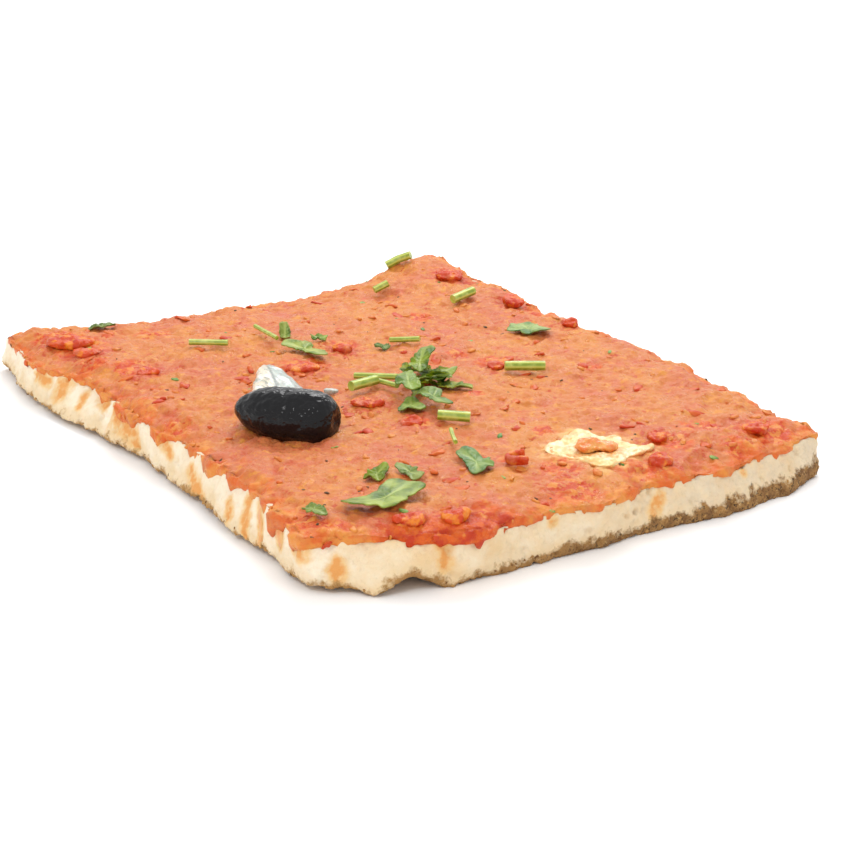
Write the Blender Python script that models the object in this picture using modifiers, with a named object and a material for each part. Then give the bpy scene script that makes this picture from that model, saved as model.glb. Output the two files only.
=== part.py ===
"""A hand-cut square slice of thick tray pizza.

Tomato sauce covers the dough, and on it lie an olive, an anchovy fillet, melted cheese,
chopped tomato and parsley. X runs along the front cut side, Y along the left cut side
and Z is up. Sizes and places are in millimetres and become metres as a mesh is made.
"""

import math

import bmesh
import bpy
from mathutils import Vector, noise
from mathutils.bvhtree import BVHTree

METRES = 0.001

SLICE_WIDTH = 119.0
SLICE_LENGTH = 155.0
CELLS_ACROSS = 12
CELLS_ALONG = 16
FINE_CUTS = 2

LAYER_GAP = 0.4
REST_GAP = 0.5

# Height of the crumb's top above the table at the four corners.
NEAR_CORNER_HEIGHT = 9.5
RIGHT_CORNER_HEIGHT = 8.0
LEFT_CORNER_HEIGHT = 7.6
BACK_CORNER_HEIGHT = 7.4
BACK_CORNER_CURL = 4.7
CURL_TO_UNDERSIDE = 0.5
BACK_EDGE_SAG = 2.4
RIGHT_EDGE_RISE = 1.6
CROWN = 0.9
LEFT_EDGE_LIFT = 1.3
CRUST_ROUNDING = 0.8
TORN_NOTCH_HEIGHT = 3.4
TORN_NOTCH_PLACE = -44.0
TORN_NOTCH_REACH = 7.0

# How far each side stands out from the plain rectangle, as (share of the side, bulge),
# at the table and at the top of the crumb. Shares run from left to right and front to back.
FRONT_FOOT = ((0.0, 1.0), (0.05, 6.0), (0.1, 11.2), (0.2, 11.9), (0.32, 11.4), (0.45, 10.0),
              (0.62, 8.3), (0.75, 8.7), (0.88, 5.9), (1.0, 0.0))
FRONT_TOP = ((0.0, 0.0), (0.07, 3.0), (0.16, 9.2), (0.24, 12.6), (0.34, 9.8), (0.42, 9.3),
             (0.48, 11.0), (0.6, 6.0), (0.75, 6.0), (0.87, 2.0), (1.0, -2.3))
LEFT_FOOT = ((0.0, 1.3), (0.1, 0.4), (0.19, 1.5), (0.36, 0.3), (0.48, -0.2), (0.6, 2.2),
             (0.75, 6.4), (0.84, 6.2), (1.0, 2.5))
LEFT_TOP = ((0.0, 0.8), (0.08, -1.2), (0.2, -2.9), (0.38, -3.6), (0.5, -1.3), (0.7, -1.9),
            (0.83, 4.2), (1.0, 1.4))
BACK_FOOT = ((0.0, 0.5), (0.3, -0.4), (0.6, 0.5), (1.0, 0.3))
BACK_TOP = ((0.0, 0.0), (0.25, -0.8), (0.5, 0.3), (0.8, -0.3), (1.0, 0.2))
RIGHT_FOOT = ((0.0, 1.0), (0.2, 1.2), (0.45, 2.0), (0.64, 0.0), (0.78, 1.4), (0.9, -1.6), (1.0, -1.0))
RIGHT_TOP = ((0.0, 1.0), (0.12, 1.0), (0.35, 1.8), (0.55, 0.2), (0.66, -1.6), (0.77, 0.9),
             (0.88, -3.6), (1.0, -2.5))

# How far the sauce stops short of the crumb's top edge along each side.
SAUCE_FRONT_INSET = ((0.0, 0.5), (0.86, 0.6), (0.94, 2.0), (1.0, 4.0))
SAUCE_LEFT_INSET = ((0.0, 0.6), (0.62, 0.6), (0.74, 1.6), (0.83, 4.4), (0.94, 2.6), (1.0, 1.5))
SAUCE_BACK_INSET = ((0.0, 1.2), (0.2, 0.6), (0.5, 1.4), (0.8, 0.6), (1.0, 0.8))
SAUCE_RIGHT_INSET = ((0.0, 3.5), (0.09, 1.4), (0.3, 0.6), (0.74, 0.5), (0.84, 3.0), (0.92, 0.8), (1.0, 0.8))
SAUCE_EDGE_THICKNESS = 0.9
SAUCE_THICKNESS = 2.5
SAUCE_THINNEST = 0.6
SAUCE_EDGE_SLOPE = 5.0
SAUCE_LIP = 0.9
LARGE_LUMPS = (1.5, 11.0)
SMALL_LUMPS = (0.9, 6.0)

OLIVE_LENGTH = 23.4
OLIVE_DIAMETER = 11.4
OLIVE_CENTRE = (-37.4, -25.2, 14.8)
OLIVE_TURN = -51.6
OLIVE_POCKET_ROOM = 1.2
OLIVE_DENT = 1.8
OLIVE_DENT_REACH = 26.0
PIT_HOLE_DEPTH = 1.3

ANCHOVY_FRONT = (-33.8, -18.8)
ANCHOVY_TAIL = (-25.0, 9.8)
ANCHOVY_HALF_WIDTHS = ((0.0, 8.4), (0.14, 8.8), (0.46, 5.6), (0.8, 3.2), (1.0, 1.7))
ANCHOVY_THICKNESS = 3.4
ANCHOVY_CREASE = 0.8
ANCHOVY_REST_GAP = 0.8
ANCHOVY_FLAKE = ((-19.2, -10.4), 3.2, 2.2, 1.2, -30)

CHEESE_CENTRE = (10.0, -68.2)
CHEESE_CORE = 7.5
CHEESE_LOBES = ((152, 11.0, 26), (78, 12.5, 22), (32, 10.6, 16), (-23, 12.5, 16), (-120, 9.5, 24))
CHEESE_THICKNESS = 1.3
CHEESE_REST_GAP = 0.65

# Chopped tomato: middle, length, width, height and turn of each piece.
TOMATO_PIECES = (
    ((-52.4, 55.8), 11.0, 8.0, 2.8, -30),
    ((-52.4, 46.6), 9.0, 4.4, 1.7, -34),
    ((-46.0, 25.4), 6.0, 4.6, 1.7, 20),
    ((-16.6, 8.2), 9.6, 5.0, 2.0, -32),
    ((-1.6, 18.2), 5.6, 4.2, 2.0, -20),
    ((-16.4, -20.6), 8.0, 3.6, 1.6, -28),
    ((-13.4, -35.2), 4.8, 4.0, 1.7, -10),
    ((23.2, -10.0), 8.4, 4.2, 1.9, 20),
    ((52.4, 30.8), 7.6, 5.0, 2.6, 70),
    ((54.2, 8.6), 5.0, 4.2, 1.9, 0),
    ((49.6, 56.4), 8.6, 7.0, 2.4, 60),
    ((-41.0, -82.4), 6.6, 4.0, 2.2, -24),
    ((-32.6, -85.2), 6.8, 4.0, 1.8, 6),
    ((25.2, -67.2), 5.6, 3.8, 1.9, 56),
    ((18.4, -78.0), 6.4, 4.6, 2.3, 20),
    ((47.0, -71.8), 6.6, 4.2, 1.7, -20),
)
CHEESE_TOMATO = ((9.2, -68.6), 9.0, 5.6, 1.8, -24)

# A strip of tomato skin curled into a hook: its middle, radius, thickness and arc.
SKIN_CURL_CENTRE = (-6.9, -66.7)
SKIN_CURL_RADIUS = 2.7
SKIN_CURL_THICKNESS = 1.5
SKIN_CURL_ARC = (40, 270)

# Parsley leaves: middle, core radius, lobes as (direction, reach, spread), lift above
# the sauce, and the direction and height to which the leaf rises.
LEAF_THICKNESS = 0.5
LEAF_CELLS = 5
LEAF_WAVE = 0.45
PARSLEY_LEAVES = (
    ("sprig_leaf_up", (1.2, -12.0), 2.0, ((38, 6.6, 26), (-120, 3.2, 30)), 3.0, 38, 2.8),
    ("sprig_leaf_right", (3.8, -15.8), 2.4, ((8, 4.8, 30), (-60, 3.4, 26), (170, 4.0, 24)), 1.5, 8, 0.5),
    ("sprig_leaf_tip", (4.8, -20.2), 2.0, ((-53, 5.2, 22), (120, 3.4, 28), (30, 3.0, 26)), 0.0, -53, 0.2),
    ("sprig_leaf_low", (-5.0, -28.4), 2.0, ((-92, 7.0, 24), (95, 4.4, 24), (40, 4.4, 20)), 1.5, -92, 0.2),
    ("sprig_leaf_front", (-9.4, -27.6), 1.9, ((-94, 4.8, 26), (-160, 3.6, 24), (60, 4.2, 26)), 0.0, -94, 0.2),
    ("sprig_leaf_left", (-6.4, -21.4), 2.2, ((73, 5.4, 28), (-107, 4.6, 28), (160, 3.2, 24)), 3.0, 73, 0.4),
    ("leaf_crinkled", (42.6, 8.6), 2.6, ((152, 5.2, 28), (-61, 6.2, 24), (79, 4.6, 26), (-134, 4.2, 26)),
     0.0, 152, 0.8),
    ("leaf_by_stalk", (7.0, 14.2), 1.2, ((116, 2.4, 30), (-98, 3.0, 26)), 0.0, 116, 0.2),
    ("leaf_long", (-10.3, 20.2), 1.9, ((115, 6.4, 22), (-80, 8.4, 20), (50, 3.4, 24)), 0.3, 115, 1.2),
    ("leaf_long_tip", (-8.6, 33.2), 1.2, ((68, 3.4, 28), (-112, 3.2, 26)), 0.2, 68, 1.6),
    ("leaf_scrap", (-4.4, 24.4), 1.2, ((150, 1.8, 34), (-55, 2.2, 34)), 0.0, 150, 0.2),
    ("leaf_left_back", (-40.6, 66.8), 1.5, ((-167, 3.6, 28), (-15, 3.4, 28)), 0.0, -15, 0.3),
    ("leaf_front_left", (-35.3, -59.5), 1.7, ((-160, 3.0, 30), (9, 2.8, 30), (-106, 3.2, 28)), 0.0, 9, 0.6),
    ("leaf_front_right", (-29.6, -62.4), 1.6, ((104, 3.4, 28), (-88, 4.6, 24)), 0.0, 104, 0.5),
    ("leaf_large", (-40.7, -73.6), 3.8, ((168, 8.8, 22), (40, 9.0, 26), (5, 7.2, 20), (-112, 5.2, 18)),
     0.2, 40, 1.0),
    ("leaf_with_stalk", (-15.7, -64.6), 2.4, ((95, 5.6, 26), (-55, 3.8, 24), (-118, 5.0, 24)), 0.2, 95, 0.5),
    ("leaf_near_corner", (-54.2, -70.4), 1.5, ((119, 2.6, 30), (-87, 3.4, 28)), 0.0, 119, 0.4),
)

# Parsley stalks: the route, the diameter and the lift of its two ends.
PARSLEY_STALKS = (
    ("sprig_stalk_back", ((-9.7, -3.0), (-3.2, -10.6)), 1.4, 0.0, 0.2),
    ("sprig_stalk_front", ((-8.2, -7.4), (-7.6, -18.4)), 1.2, 0.2, 0.4),
    ("sprig_stalk_thick", ((-16.2, -13.6), (-9.2, -11.9)), 2.2, 0.0, 0.0),
    ("stalk_below_sprig", ((-8.9, -37.8), (-3.4, -41.6)), 2.2, 0.0, 0.0),
    ("stalk_middle_right", ((21.0, -15.8), (29.1, -19.5)), 2.2, 0.0, 0.0),
    ("stalk_back_right", ((38.9, 37.0), (45.6, 38.6)), 2.2, 0.0, 0.0),
    ("stalk_back_edge", ((40.6, 73.4), (43.6, 72.6), (46.0, 70.4)), 2.1, 0.0, 0.2),
    ("stalk_back_small", ((29.4, 59.6), (33.0, 59.2)), 1.8, 0.0, 0.0),
    ("stalk_middle", ((10.2, 16.8), (14.8, 11.2)), 1.3, 0.0, 0.0),
    ("stalk_long_leaf", ((-13.0, 40.1), (-12.9, 28.8)), 1.0, 0.3, 0.3),
    ("stalk_left", ((-31.2, 37.0), (-23.7, 32.2)), 1.4, 0.0, 0.0),
    ("stalk_front", ((-11.3, -47.2), (-13.4, -51.4), (-15.2, -55.6)), 0.9, 0.6, 0.2),
)

DOUGH_COLOUR = (0.86, 0.72, 0.50)
SAUCE_COLOUR = (0.76, 0.22, 0.09)
TOMATO_COLOUR = (0.66, 0.08, 0.03)
OLIVE_COLOUR = (0.012, 0.014, 0.016)
ANCHOVY_COLOUR = (0.62, 0.62, 0.56)
CHEESE_COLOUR = (0.88, 0.76, 0.44)
LEAF_COLOUR = (0.10, 0.28, 0.04)
STALK_COLOUR = (0.45, 0.55, 0.10)


def make_material(name, colour, roughness):
    """A plain finish of one colour."""
    material = bpy.data.materials.new(name)
    material.use_nodes = True
    shader = material.node_tree.nodes["Principled BSDF"]
    shader.inputs["Base Color"].default_value = (*colour, 1.0)
    shader.inputs["Roughness"].default_value = roughness
    return material


def add_object(name, data, place, material, root):
    """Link an object of the slice at its place, given in millimetres."""
    piece = bpy.data.objects.new(name, data)
    piece.location = Vector(place) * METRES
    piece.parent = root
    data.materials.append(material)
    bpy.data.collections["square_pizza"].objects.link(piece)
    return piece


def add_mesh(name, bm, place, material, root):
    """Turn a shape worked out in place into a mesh round its own origin."""
    for vert in bm.verts:
        vert.co = (vert.co - Vector(place)) * METRES
    mesh = bpy.data.meshes.new(name)
    bm.to_mesh(mesh)
    bm.free()
    piece = add_object(name, mesh, place, material, root)
    mesh.shade_smooth()
    return piece


def ease(value):
    """A smooth step from 0 to 1, level at both ends."""
    held = min(max(value, 0.0), 1.0)
    return held * held * (3.0 - 2.0 * held)


def blend(low, high, share):
    """The value at a share of the way from low to high."""
    return low + (high - low) * share


def along(points, share):
    """Read a smooth curve through (share, value) points."""
    for (start, low), (stop, high) in zip(points, points[1:]):
        if share <= stop:
            return blend(low, high, ease((share - start) / (stop - start)))
    return points[-1][1]


def back_curl(x, y):
    """How far the back corner has curled up in the oven."""
    across = ease((x / SLICE_WIDTH - 0.22) / 0.22)
    back = ease((y / SLICE_LENGTH - 0.18) / 0.3)
    return BACK_CORNER_CURL * across * back


def olive_axes(x, y):
    """A place measured along and across the olive, from its middle."""
    turn = math.radians(OLIVE_TURN)
    dx = x - OLIVE_CENTRE[0]
    dy = y - OLIVE_CENTRE[1]
    return dx * math.cos(turn) + dy * math.sin(turn), dy * math.cos(turn) - dx * math.sin(turn)


def underside(x, y, share_along):
    """Height of the crust's underside, flat on the table but for its raised edges."""
    share_across = x / SLICE_WIDTH + 0.5
    lift = LEFT_EDGE_LIFT * (1.0 - ease(share_across / 0.12))
    notch = 1.0 - ease(abs(x - TORN_NOTCH_PLACE) / TORN_NOTCH_REACH)
    torn = TORN_NOTCH_HEIGHT * notch * (1.0 - ease(share_along / 0.05))
    return max(lift, torn) + CURL_TO_UNDERSIDE * back_curl(x, y)


def dough_top(x, y):
    """Height of the crumb's top, which the sauce hides."""
    across = x / SLICE_WIDTH + 0.5
    back = y / SLICE_LENGTH + 0.5
    front_height = blend(NEAR_CORNER_HEIGHT, RIGHT_CORNER_HEIGHT, across)
    back_height = blend(LEFT_CORNER_HEIGHT, BACK_CORNER_HEIGHT, across)
    height = blend(front_height, back_height, back)
    hump_across = math.sin(math.pi * min(max(across, 0.0), 1.0))
    hump_back = math.sin(math.pi * min(max(back, 0.0), 1.0))
    crown = CROWN * hump_across * hump_back
    sag = BACK_EDGE_SAG * hump_across * ease((back - 0.72) / 0.28)
    rise = RIGHT_EDGE_RISE * ease((across - 0.7) / 0.3) * hump_back
    far = math.hypot(*olive_axes(x, y)) / OLIVE_DENT_REACH
    dent = OLIVE_DENT * (1.0 - ease(far))
    return height + crown - sag + rise - dent + back_curl(x, y)


def dough_place(across, back, level):
    """Where a point of the unit block goes in the dough."""
    rounding = CRUST_ROUNDING * (1.0 - ease(level / 0.12))
    left = blend(along(LEFT_FOOT, back), along(LEFT_TOP, back), level) - rounding
    right = blend(along(RIGHT_FOOT, back), along(RIGHT_TOP, back), level) - rounding
    front = blend(along(FRONT_FOOT, across), along(FRONT_TOP, across), level) - rounding
    rear = blend(along(BACK_FOOT, across), along(BACK_TOP, across), level) - rounding
    x = blend(-SLICE_WIDTH / 2 - left, SLICE_WIDTH / 2 + right, across)
    y = blend(-SLICE_LENGTH / 2 - front, SLICE_LENGTH / 2 + rear, back)
    return Vector((x, y, blend(underside(x, y, back), dough_top(x, y), level)))


def sauce_thickness(x, y, edge_distance):
    """Thickness of the sauce: lumpy inside and thin at the edge."""
    lumps = 0.0
    for height, size in (LARGE_LUMPS, SMALL_LUMPS):
        lumps += height * noise.noise(Vector((x / size, y / size, size)))
    inner = blend(SAUCE_EDGE_THICKNESS, SAUCE_THICKNESS + lumps, ease(edge_distance / SAUCE_EDGE_SLOPE))
    lengthwise, crosswise = olive_axes(x, y)
    room = OLIVE_POCKET_ROOM
    reach = (lengthwise / (OLIVE_LENGTH / 2 + room)) ** 2 + (crosswise / (OLIVE_DIAMETER / 2 + room)) ** 2
    if reach < 1.0:
        pocket = OLIVE_CENTRE[2] - (OLIVE_DIAMETER / 2 + room) * math.sqrt(1.0 - reach)
        inner = min(inner, pocket - dough_top(x, y) - LAYER_GAP)
    return max(inner, SAUCE_THINNEST)


def sauce_place(across, back, level):
    """Where a point of the unit block goes in the sauce."""
    base = dough_place(across, back, 1.0)
    lip = SAUCE_LIP * level
    near_left = max(0.0, 1.0 - across * CELLS_ACROSS)
    near_right = max(0.0, 1.0 - (1.0 - across) * CELLS_ACROSS)
    near_front = max(0.0, 1.0 - back * CELLS_ALONG)
    near_back = max(0.0, 1.0 - (1.0 - back) * CELLS_ALONG)
    x = base.x + (along(SAUCE_LEFT_INSET, back) + lip) * near_left
    x -= (along(SAUCE_RIGHT_INSET, back) + lip) * near_right
    y = base.y + (along(SAUCE_FRONT_INSET, across) + lip) * near_front
    y -= (along(SAUCE_BACK_INSET, across) + lip) * near_back
    nearest_side = min(min(across, 1.0 - across) * SLICE_WIDTH, min(back, 1.0 - back) * SLICE_LENGTH)
    bottom = dough_top(x, y) + LAYER_GAP
    return Vector((x, y, bottom + level * sauce_thickness(x, y, nearest_side)))


def unit_block(levels, fine_top):
    """A block one unit wide and long, coarse inside, with walls cut finely along the outline."""
    bm = bmesh.new()
    bmesh.ops.create_grid(bm, x_segments=CELLS_ACROSS, y_segments=CELLS_ALONG, size=0.5)
    bmesh.ops.translate(bm, verts=bm.verts, vec=(0.5, 0.5, 0.0))
    top = bm.faces[:]
    for low, high in zip(levels, levels[1:]):
        raised = bmesh.ops.extrude_face_region(bm, geom=top)["geom"]
        verts = [item for item in raised if isinstance(item, bmesh.types.BMVert)]
        if low > levels[0]:
            bmesh.ops.delete(bm, geom=top, context="FACES_ONLY")
        top = [item for item in raised if isinstance(item, bmesh.types.BMFace)]
        bmesh.ops.translate(bm, verts=verts, vec=(0.0, 0.0, high - low))
    outline = [edge for edge in bm.edges if runs_along_outline(edge)]
    if fine_top:
        outline = list(set(outline) | {edge for face in top for edge in face.edges})
    bmesh.ops.subdivide_edges(bm, edges=outline, cuts=FINE_CUTS, use_grid_fill=True)
    bmesh.ops.recalc_face_normals(bm, faces=bm.faces)
    return bm


def runs_along_outline(edge):
    """Whether an edge of the unit block is level and lies in one of its walls."""
    first, second = (vert.co for vert in edge.verts)
    if abs(first.z - second.z) > 1e-6:
        return False
    for axis in (0, 1):
        if abs(first[axis] - second[axis]) < 1e-6 and min(first[axis], 1.0 - first[axis]) < 1e-6:
            return True
    return False


def map_block(bm, place):
    """Move every point of a unit block to its place and split the faces into triangles."""
    for vert in bm.verts:
        vert.co = place(vert.co.x, vert.co.y, vert.co.z)
    bmesh.ops.triangulate(bm, faces=bm.faces, quad_method="BEAUTY", ngon_method="BEAUTY")


def make_dough(root):
    """The baked dough: crumb at the cut sides, crust below."""
    bm = unit_block((0.0, 0.12, 0.55, 1.0), False)
    map_block(bm, dough_place)
    return add_mesh("dough", bm, (0.0, 0.0, 0.0), make_material("bread_crumb", DOUGH_COLOUR, 0.9), root)


def make_sauce(root):
    """The layer of tomato sauce; returns its surface, on which the rest lies."""
    bm = unit_block((0.0, 1.0), True)
    map_block(bm, sauce_place)
    surface = BVHTree.FromBMesh(bm)
    add_mesh("sauce", bm, (0.0, 0.0, 0.0), make_material("tomato_sauce", SAUCE_COLOUR, 0.45), root)
    return surface


def surface_height(surface, x, y):
    """Height of the sauce at a place."""
    hit = surface.ray_cast(Vector((x, y, 60.0)), Vector((0.0, 0.0, -1.0)))[0]
    if hit is None:
        hit = surface.find_nearest(Vector((x, y, 10.0)))[0]
    return hit.z


def lobed_reach(angle, core, lobes):
    """Distance from the middle of a lobed outline to its edge in one direction."""
    reach = core
    for direction, length, spread in lobes:
        turn = (angle - math.radians(direction) + math.pi) % (2.0 * math.pi) - math.pi
        reach += (length - core) * math.exp(-((turn / math.radians(spread)) ** 2))
    return reach


def oval_reach(angle, length, width, turn):
    """Distance from the middle of an uneven oval to its edge in one direction."""
    local = angle - math.radians(turn)
    oval = 1.0 / math.hypot(math.cos(local) * 2.0 / length, math.sin(local) * 2.0 / width)
    return oval * (1.0 + 0.09 * math.sin(2.0 * local + turn) + 0.08 * math.sin(3.0 * local + length))


def add_lump(name, centre, reach, height, detail, gap, surface, material, root):
    """A soft lump with the given outline, its underside following the sauce at a gap."""
    bm = bmesh.new()
    bmesh.ops.create_icosphere(bm, subdivisions=detail, radius=1.0)
    foot = 0.35 * height
    for vert in bm.verts:
        angle = math.atan2(vert.co.y, vert.co.x)
        out = math.hypot(vert.co.x, vert.co.y) * reach(angle)
        x = centre[0] + out * math.cos(angle)
        y = centre[1] + out * math.sin(angle)
        level = foot * (1.0 + min(vert.co.z, 0.0)) + (height - foot) * max(vert.co.z, 0.0)
        vert.co = Vector((x, y, surface_height(surface, x, y) + gap + level))
    add_mesh(name, bm, (*centre, surface_height(surface, *centre)), material, root)


def add_oval_lump(name, lump, gap, surface, material, root):
    """A soft lump with an uneven oval outline."""
    centre, length, width, height, turn = lump

    def reach(angle):
        return oval_reach(angle, length, width, turn)

    add_lump(name, centre, reach, height, 2, gap, surface, material, root)


def make_tomato(surface, root):
    """The chopped tomato that stands out of the sauce, and a curl of tomato skin."""
    material = make_material("tomato_flesh", TOMATO_COLOUR, 0.35)
    for number, piece in enumerate(TOMATO_PIECES, 1):
        add_oval_lump(f"tomato_piece_{number:02d}", piece, REST_GAP, surface, material, root)

    first, last = SKIN_CURL_ARC
    route = []
    for step in range(8):
        angle = math.radians(blend(first, last, step / 7))
        route.append((SKIN_CURL_CENTRE[0] + SKIN_CURL_RADIUS * math.cos(angle),
                      SKIN_CURL_CENTRE[1] + SKIN_CURL_RADIUS * math.sin(angle)))
    add_rod("tomato_skin_curl", route, SKIN_CURL_THICKNESS, 0.0, 0.0, surface, material, root)


def make_cheese(surface, root):
    """The melted cheese, and the piece of tomato that lies on it."""
    def reach(angle):
        return lobed_reach(angle, CHEESE_CORE, CHEESE_LOBES)

    cheese = make_material("melted_cheese", CHEESE_COLOUR, 0.5)
    add_lump("cheese", CHEESE_CENTRE, reach, CHEESE_THICKNESS, 3, CHEESE_REST_GAP, surface, cheese, root)
    gap = CHEESE_REST_GAP + CHEESE_THICKNESS + REST_GAP
    orange = make_material("tomato_on_cheese", TOMATO_COLOUR, 0.35)
    add_oval_lump("tomato_on_cheese", CHEESE_TOMATO, gap, surface, orange, root)


def make_olive(root):
    """The black olive, rounder at one end and blunt with its pit hole at the other."""
    bm = bmesh.new()
    bmesh.ops.create_uvsphere(bm, u_segments=20, v_segments=12, radius=1.0)
    turn = math.radians(OLIVE_TURN)
    for vert in bm.verts:
        lengthwise = vert.co.z
        power = 3.0 if lengthwise > 0.0 else 2.0
        out = math.hypot(vert.co.x, vert.co.y)
        swell = math.sqrt(max(0.0, 1.0 - abs(lengthwise) ** power)) / out if out > 1e-6 else 0.0
        crosswise = vert.co.x * swell * OLIVE_DIAMETER / 2
        height = vert.co.y * swell * OLIVE_DIAMETER / 2
        reach = lengthwise * OLIVE_LENGTH / 2
        if lengthwise > 0.999:
            reach -= PIT_HOLE_DEPTH
        x = reach * math.cos(turn) - crosswise * math.sin(turn)
        y = reach * math.sin(turn) + crosswise * math.cos(turn)
        vert.co = Vector(OLIVE_CENTRE) + Vector((x, y, height))
    add_mesh("olive", bm, OLIVE_CENTRE, make_material("olive_skin", OLIVE_COLOUR, 0.18), root)


def make_anchovy(surface, root):
    """The anchovy fillet behind the olive, wide where they meet and narrow at the tail, and a loose flake."""
    bm = bmesh.new()
    bmesh.ops.create_grid(bm, x_segments=6, y_segments=10, size=0.5)
    raised = bmesh.ops.extrude_face_region(bm, geom=bm.faces[:])["geom"]
    verts = [item for item in raised if isinstance(item, bmesh.types.BMVert)]
    bmesh.ops.translate(bm, verts=verts, vec=(0.0, 0.0, 1.0))
    front = Vector(ANCHOVY_FRONT)
    spine = Vector(ANCHOVY_TAIL) - front
    square = Vector((spine.y, -spine.x)).normalized()
    turn = math.radians(OLIVE_TURN)
    olive_side = Vector((math.cos(turn), math.sin(turn)))
    for vert in bm.verts:
        across = vert.co.x * 2.0
        share = vert.co.y + 0.5
        side = olive_side.lerp(square, share)
        spot = front + spine * share + side * across * along(ANCHOVY_HALF_WIDTHS, share)
        crown = ANCHOVY_THICKNESS * (1.0 - 0.62 * across ** 2)
        crown -= ANCHOVY_CREASE * max(0.0, 1.0 - 3.0 * abs(across))
        ends = min(1.0, 0.45 + 3.0 * min(share, 1.0 - share))
        height = surface_height(surface, spot.x, spot.y) + ANCHOVY_REST_GAP + vert.co.z * crown * ends
        vert.co = Vector((spot.x, spot.y, height))
    bmesh.ops.recalc_face_normals(bm, faces=bm.faces)
    bmesh.ops.triangulate(bm, faces=bm.faces)
    place = (*ANCHOVY_FRONT, surface_height(surface, *ANCHOVY_FRONT))
    material = make_material("anchovy_skin", ANCHOVY_COLOUR, 0.3)
    add_mesh("anchovy", bm, place, material, root)
    add_oval_lump("anchovy_flake", ANCHOVY_FLAKE, REST_GAP, surface, material, root)


def add_leaf(leaf, surface, material, root):
    """A thin wavy leaf with lobes, lying on the sauce or raised at one end."""
    name, centre, core, lobes, lift, rise_direction, rise = leaf
    longest = max(length for _, length, _ in lobes)
    bm = bmesh.new()
    bmesh.ops.create_grid(bm, x_segments=LEAF_CELLS, y_segments=LEAF_CELLS, size=1.0)
    for vert in bm.verts:
        across = vert.co.x * math.sqrt(1.0 - vert.co.y ** 2 / 2.0)
        back = vert.co.y * math.sqrt(1.0 - vert.co.x ** 2 / 2.0)
        angle = math.atan2(back, across)
        out = math.hypot(across, back)
        reach = out * lobed_reach(angle, core, lobes)
        x = centre[0] + reach * math.cos(angle)
        y = centre[1] + reach * math.sin(angle)
        towards = reach * math.cos(angle - math.radians(rise_direction)) / longest
        raised = lift + rise * ease(towards) + LEAF_WAVE * out * (0.5 + 0.5 * math.sin(5.0 * angle + core))
        vert.co = Vector((x, y, surface_height(surface, x, y) + REST_GAP + raised))
    bmesh.ops.triangulate(bm, faces=bm.faces)
    piece = add_mesh(name, bm, (*centre, surface_height(surface, *centre)), material, root)
    thickness = piece.modifiers.new("thickness", "SOLIDIFY")
    thickness.thickness = LEAF_THICKNESS * METRES
    thickness.offset = 1.0


def add_rod(name, route, diameter, first_lift, last_lift, surface, material, root):
    """A round stalk along a route on the sauce, clear of every bump below it."""
    def needed(x, y):
        radius = diameter / 2
        spots = [(x, y), (x + radius, y), (x - radius, y), (x, y + radius), (x, y - radius)]
        return max(surface_height(surface, *spot) for spot in spots) + REST_GAP + radius

    heights = [needed(*spot) for spot in route]
    shortfall = 0.0
    for (start, stop), (low, high) in zip(zip(route, route[1:]), zip(heights, heights[1:])):
        for step in range(1, 6):
            share = step / 6
            spot = (blend(start[0], stop[0], share), blend(start[1], stop[1], share))
            shortfall = max(shortfall, needed(*spot) - blend(low, high, share))
    place = Vector((*route[0], heights[0]))
    data = bpy.data.curves.new(name, "CURVE")
    data.dimensions = "3D"
    data.bevel_depth = diameter / 2 * METRES
    data.bevel_resolution = 2
    data.use_fill_caps = True
    spline = data.splines.new("POLY")
    spline.points.add(len(route) - 1)
    for number, (spot, height) in enumerate(zip(route, heights)):
        lift = blend(first_lift, last_lift, number / (len(route) - 1))
        point = Vector((*spot, height + shortfall + lift)) - place
        spline.points[number].co = (*(point * METRES), 1.0)
    add_object(name, data, place, material, root)


def make_parsley(surface, root):
    """The chopped parsley: the sprig in the middle, loose leaves and cut stalks."""
    leaf_material = make_material("parsley_leaf", LEAF_COLOUR, 0.5)
    for leaf in PARSLEY_LEAVES:
        add_leaf(leaf, surface, leaf_material, root)
    stalk_material = make_material("parsley_stalk", STALK_COLOUR, 0.4)
    for name, route, diameter, first_lift, last_lift in PARSLEY_STALKS:
        add_rod(name, route, diameter, first_lift, last_lift, surface, stalk_material, root)


def centre_over_origin(dough, root):
    """Shift the whole slice so that the middle of its box, which the dough sets, is over the origin."""
    for axis in (0, 1):
        values = [vert.co[axis] for vert in dough.data.vertices]
        root.location[axis] = -(min(values) + max(values)) / 2


def build():
    """Clear the scene and build the slice."""
    for item in list(bpy.data.objects):
        bpy.data.objects.remove(item, do_unlink=True)
    collection = bpy.data.collections.new("square_pizza")
    bpy.context.scene.collection.children.link(collection)
    root = bpy.data.objects.new("slice_root", None)
    collection.objects.link(root)
    dough = make_dough(root)
    surface = make_sauce(root)
    make_olive(root)
    make_anchovy(surface, root)
    make_cheese(surface, root)
    make_tomato(surface, root)
    make_parsley(surface, root)
    centre_over_origin(dough, root)


build()
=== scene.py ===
import math

import bmesh
import bpy
import numpy as np
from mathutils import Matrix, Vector
from mathutils.bvhtree import BVHTree
from mathutils.kdtree import KDTree


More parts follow.
